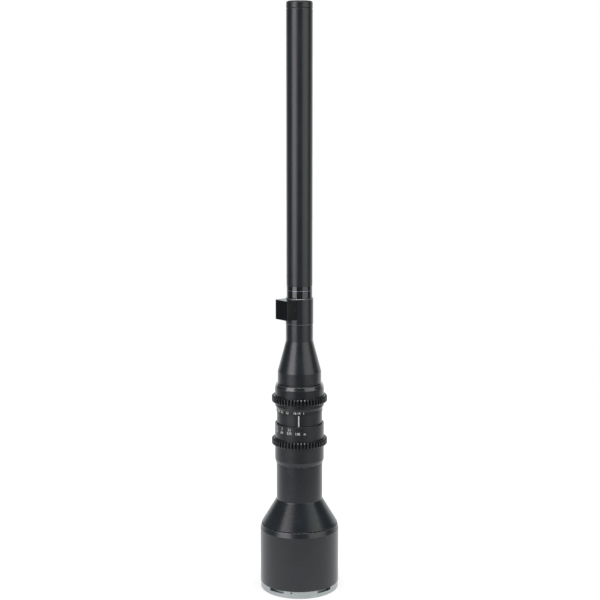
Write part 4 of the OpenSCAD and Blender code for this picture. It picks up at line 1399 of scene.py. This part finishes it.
@dataclass
class Scales(SubAssembly):
    """Painted numbers of both rings and the index line between them."""

    cap: float = 0.72
    squeeze: float = 0.86
    bold: float = 0.012
    paint: float = 0.05
    sunk: float = 0.03
    line_radius: float = 17.0
    line_angle: float = -1.9
    line_width: float = 0.8
    line_steps: int = 6
    line_gap: float = 0.31

    def lettering(self, text: str, digit: float) -> tuple[np.ndarray, np.ndarray]:
        """Flat artwork of a text, centred.

        The letters stand one unit deep, and are then scaled to the digits' height and paint's depth.

        Args:
            text: what it says.
            digit: height of its digits.

        Returns:
            Points in millimetres, with those that coincide merged, and triangles.
        """
        curve = bpy.data.curves.new("artwork", "FONT")
        curve.body = text
        curve.align_x, curve.align_y = "CENTER", "CENTER"
        curve.extrude, curve.offset = 0.5, self.bold
        holder = linked("artwork", curve)
        mesh = bpy.data.meshes.new_from_object(holder.evaluated_get(bpy.context.evaluated_depsgraph_get()))
        mesh.calc_loop_triangles()
        points = np.empty(len(mesh.vertices) * 3)
        mesh.vertices.foreach_get("co", points)
        triangles = np.empty(len(mesh.loop_triangles) * 3, dtype=np.int32)
        mesh.loop_triangles.foreach_get("vertices", triangles)
        bpy.data.objects.remove(holder)
        bpy.data.curves.remove(curve)
        bpy.data.meshes.remove(mesh)
        merged, place = np.unique(points.reshape(-1, 3).round(6), axis=0, return_inverse=True)
        triangles = place.reshape(-1)[triangles].reshape(-1, 3)
        whole = (triangles != np.roll(triangles, 1, axis=1)).all(axis=1)
        size = digit / self.cap
        flat = merged * (size * self.squeeze, size, self.paint)
        return flat + (0, 0, self.paint / 2 - self.sunk), triangles[whole]

    def numbers(self, row: Row) -> tuple[np.ndarray, np.ndarray]:
        """Artwork of one row of numbers, bent round its ring.

        Args:
            row: the row.

        Returns:
            Points and triangles of the whole row.
        """
        points, faces, count = [], [], 0
        for text, angle in row.marks.items():
            flat, triangles = self.lettering(text, row.digit)
            points.append(wrapped(flat, row.radius, angle, Span.of(row.node).low + row.rise))
            faces.append(triangles + count)
            count += len(flat)
        return np.concatenate(points), np.concatenate(faces)

    def line(self, low: float, high: float) -> tuple[np.ndarray, np.ndarray]:
        """Index line, a thin strip bent round the barrel.

        Its section, a rectangle of the line's width and the paint's depth, is carried up the wall.

        Args:
            low: height of its lower end.
            high: height of its upper end.

        Returns:
            Points and four-sided faces.
        """
        across = np.linspace(-0.5, 0.5, self.line_steps + 1) * self.line_width
        section = np.concatenate([across, across[::-1]])
        depth = np.repeat([self.paint - self.sunk, -self.sunk], len(across))
        flat = [np.stack([section, np.full_like(section, z), depth], axis=1) for z in (0.0, high - low)]
        points = wrapped(np.concatenate(flat), self.line_radius, self.line_angle, low)
        inner, last = np.arange(self.line_steps), len(section) - 1
        caps = np.stack([inner, inner + 1, last - 1 - inner, last - inner], axis=1)
        sides = grid_faces(2, len(section), False)
        return points, np.concatenate([sides, caps[:, ::-1], caps + len(section)])

    def build(self) -> None:
        """Build both scales and the line."""
        for name, row in ROWS.items():
            self.fix(mesh_object(name, *self.numbers(row)), row.node, Coat.INK)
        low, high = Span.of("focus_ring").high + self.line_gap, Span.of("aperture_ring").low - self.line_gap
        self.fix(mesh_object("index_line", *self.line(low, high)), "index_barrel", Coat.INK)


@dataclass
class CadPieces(SubAssembly):
    """CAD nodes that keep their solids and only get their finishes."""

    def build(self) -> None:
        """Dress every CAD node that still shows."""
        for name, node in sorted(frame["nodes"].items()):
            if not node.hide_render:
                self.dress(node, name, Coat.SMOKED if name == "port_lamp" else None)


# Studio


@dataclass(frozen=True)
class Softbox:
    """Soft lamp: where it stands, what it looks at, its size in metres, its radiance and its tint."""

    name: str
    place: Place
    target: Place
    width: float
    height: float
    radiance: float
    tint: Colour = WHITE

    def build(self) -> None:
        """Make the lamp. Its power is pi times its area times its radiance."""
        lamp = bpy.data.lights.new(self.name, "AREA")
        lamp.shape = "RECTANGLE"
        lamp.size, lamp.size_y = self.width, self.height
        lamp.energy = math.pi * self.width * self.height * self.radiance
        lamp.color = self.tint
        holder = linked(self.name, lamp)
        holder.location = self.place
        towards = Vector(self.target) - Vector(self.place)
        holder.rotation_euler = towards.to_track_quat("-Z", "Y").to_euler()
        holder.visible_camera = False


# Two upright softboxes at the sides of the camera, a wide one above and a small warm lamp.
SOFTBOXES = (
    Softbox("left_box", (-0.82, -0.82, 0.5), (0.0, 0.0, 0.5), 0.82, 1.04, 4.3, (1.0, 0.965, 1.0)),
    Softbox("right_box", (0.93, -0.7, 0.49), (0.0, 0.0, 0.49), 1.14, 1.02, 1.92, (0.99, 1.0, 0.96)),
    Softbox("top_box", (0.0, -0.1, 1.55), (0.0, -0.1, 0.0), 1.0, 0.75, 2.6),
    Softbox("top_lamp", (0.12, -0.32, 1.5), (0.0, 0.0, 0.15), 0.6, 0.28, 11.0, (1.0, 0.97, 0.86)),
)


@dataclass
class Studio:
    """Camera, lamps, white surroundings and pale floor."""

    camera_place: Place = (0.0004, -0.9513, 0.3669)
    camera_tilt: float = 81.26
    focal_length: float = 77.9
    sensor_width: float = 36.0
    camera_rise: float = 0.001
    floor_radius: float = 700.0
    floor_height: float = -0.02
    floor_steps: int = 96
    back_lean: Pair = (0.1, 0.7)
    back_fade: Pair = (0.38, 0.83)
    back_level: float = 0.82
    back_gloss: float = 0.3
    room_level: float = 0.19
    room_tint: Colour = (0.96, 1.0, 1.02)

    def camera(self) -> None:
        """Camera at the photograph's angle."""
        data = bpy.data.cameras.new("camera")
        data.lens, data.sensor_width, data.shift_y = self.focal_length, self.sensor_width, self.camera_rise
        camera = linked("camera", data)
        camera.location = self.camera_place
        camera.rotation_euler = (math.radians(self.camera_tilt), 0.0, 0.0)
        bpy.context.scene.camera = camera

    def surroundings(self) -> None:
        """World that is white to the camera, and white only behind the lens for what it lights.

        What lies behind is told by the direction's y plus a little of its x less most of its z.
        """
        world = bpy.data.worlds.new("studio")
        bpy.context.scene.world = world
        world.use_nodes = True
        graph = Graph(world.node_tree)
        seen, glossy = graph.rays()
        x, y, z = graph.parts(graph.node("ShaderNodeTexCoord").outputs["Generated"])
        behind = (x * self.back_lean[0] + y - z * self.back_lean[1]).within(*self.back_fade)
        lit = behind * (glossy * self.back_gloss + self.back_level) + self.room_level
        level = seen + (1 - seen) * lit
        colour = graph.blend(seen, self.room_tint, WHITE)
        background = graph.node("ShaderNodeBackground", None, {"Color": colour, "Strength": level})
        graph.node("ShaderNodeOutputWorld", None, {"Surface": background.outputs[0]})

    def floor(self) -> None:
        """Round floor."""
        turn = np.arange(self.floor_steps) * (2 * math.pi / self.floor_steps)
        rim = self.floor_radius * np.stack([np.cos(turn), np.sin(turn), 0 * turn], axis=1)
        disc = mesh_object("floor", rim + (0, 0, self.floor_height), np.arange(self.floor_steps)[None, :])
        disc.data.materials.append(material_of(Paper()))

    def build(self) -> None:
        """Build the studio."""
        self.camera()
        for softbox in SOFTBOXES:
            softbox.build()
        self.surroundings()
        self.floor()


def main() -> None:
    """Build the studio and the lens, one sub-assembly after another."""
    logging.basicConfig(level=logging.INFO, format="%(name)s: %(message)s")
    bpy.context.scene.view_settings.view_transform = "Standard"
    Studio().build()
    groups: Sequence[type] = (
        CameraMount, RearBarrel, FocusGroup, ApertureGroup, FrontBarrel, PortCollar, ProbeTube, Scales,
        CadPieces,
    )
    for group in groups:
        LOG.info("building %s", group.__name__)
        group().build()


if __name__ == "__main__":
    main()
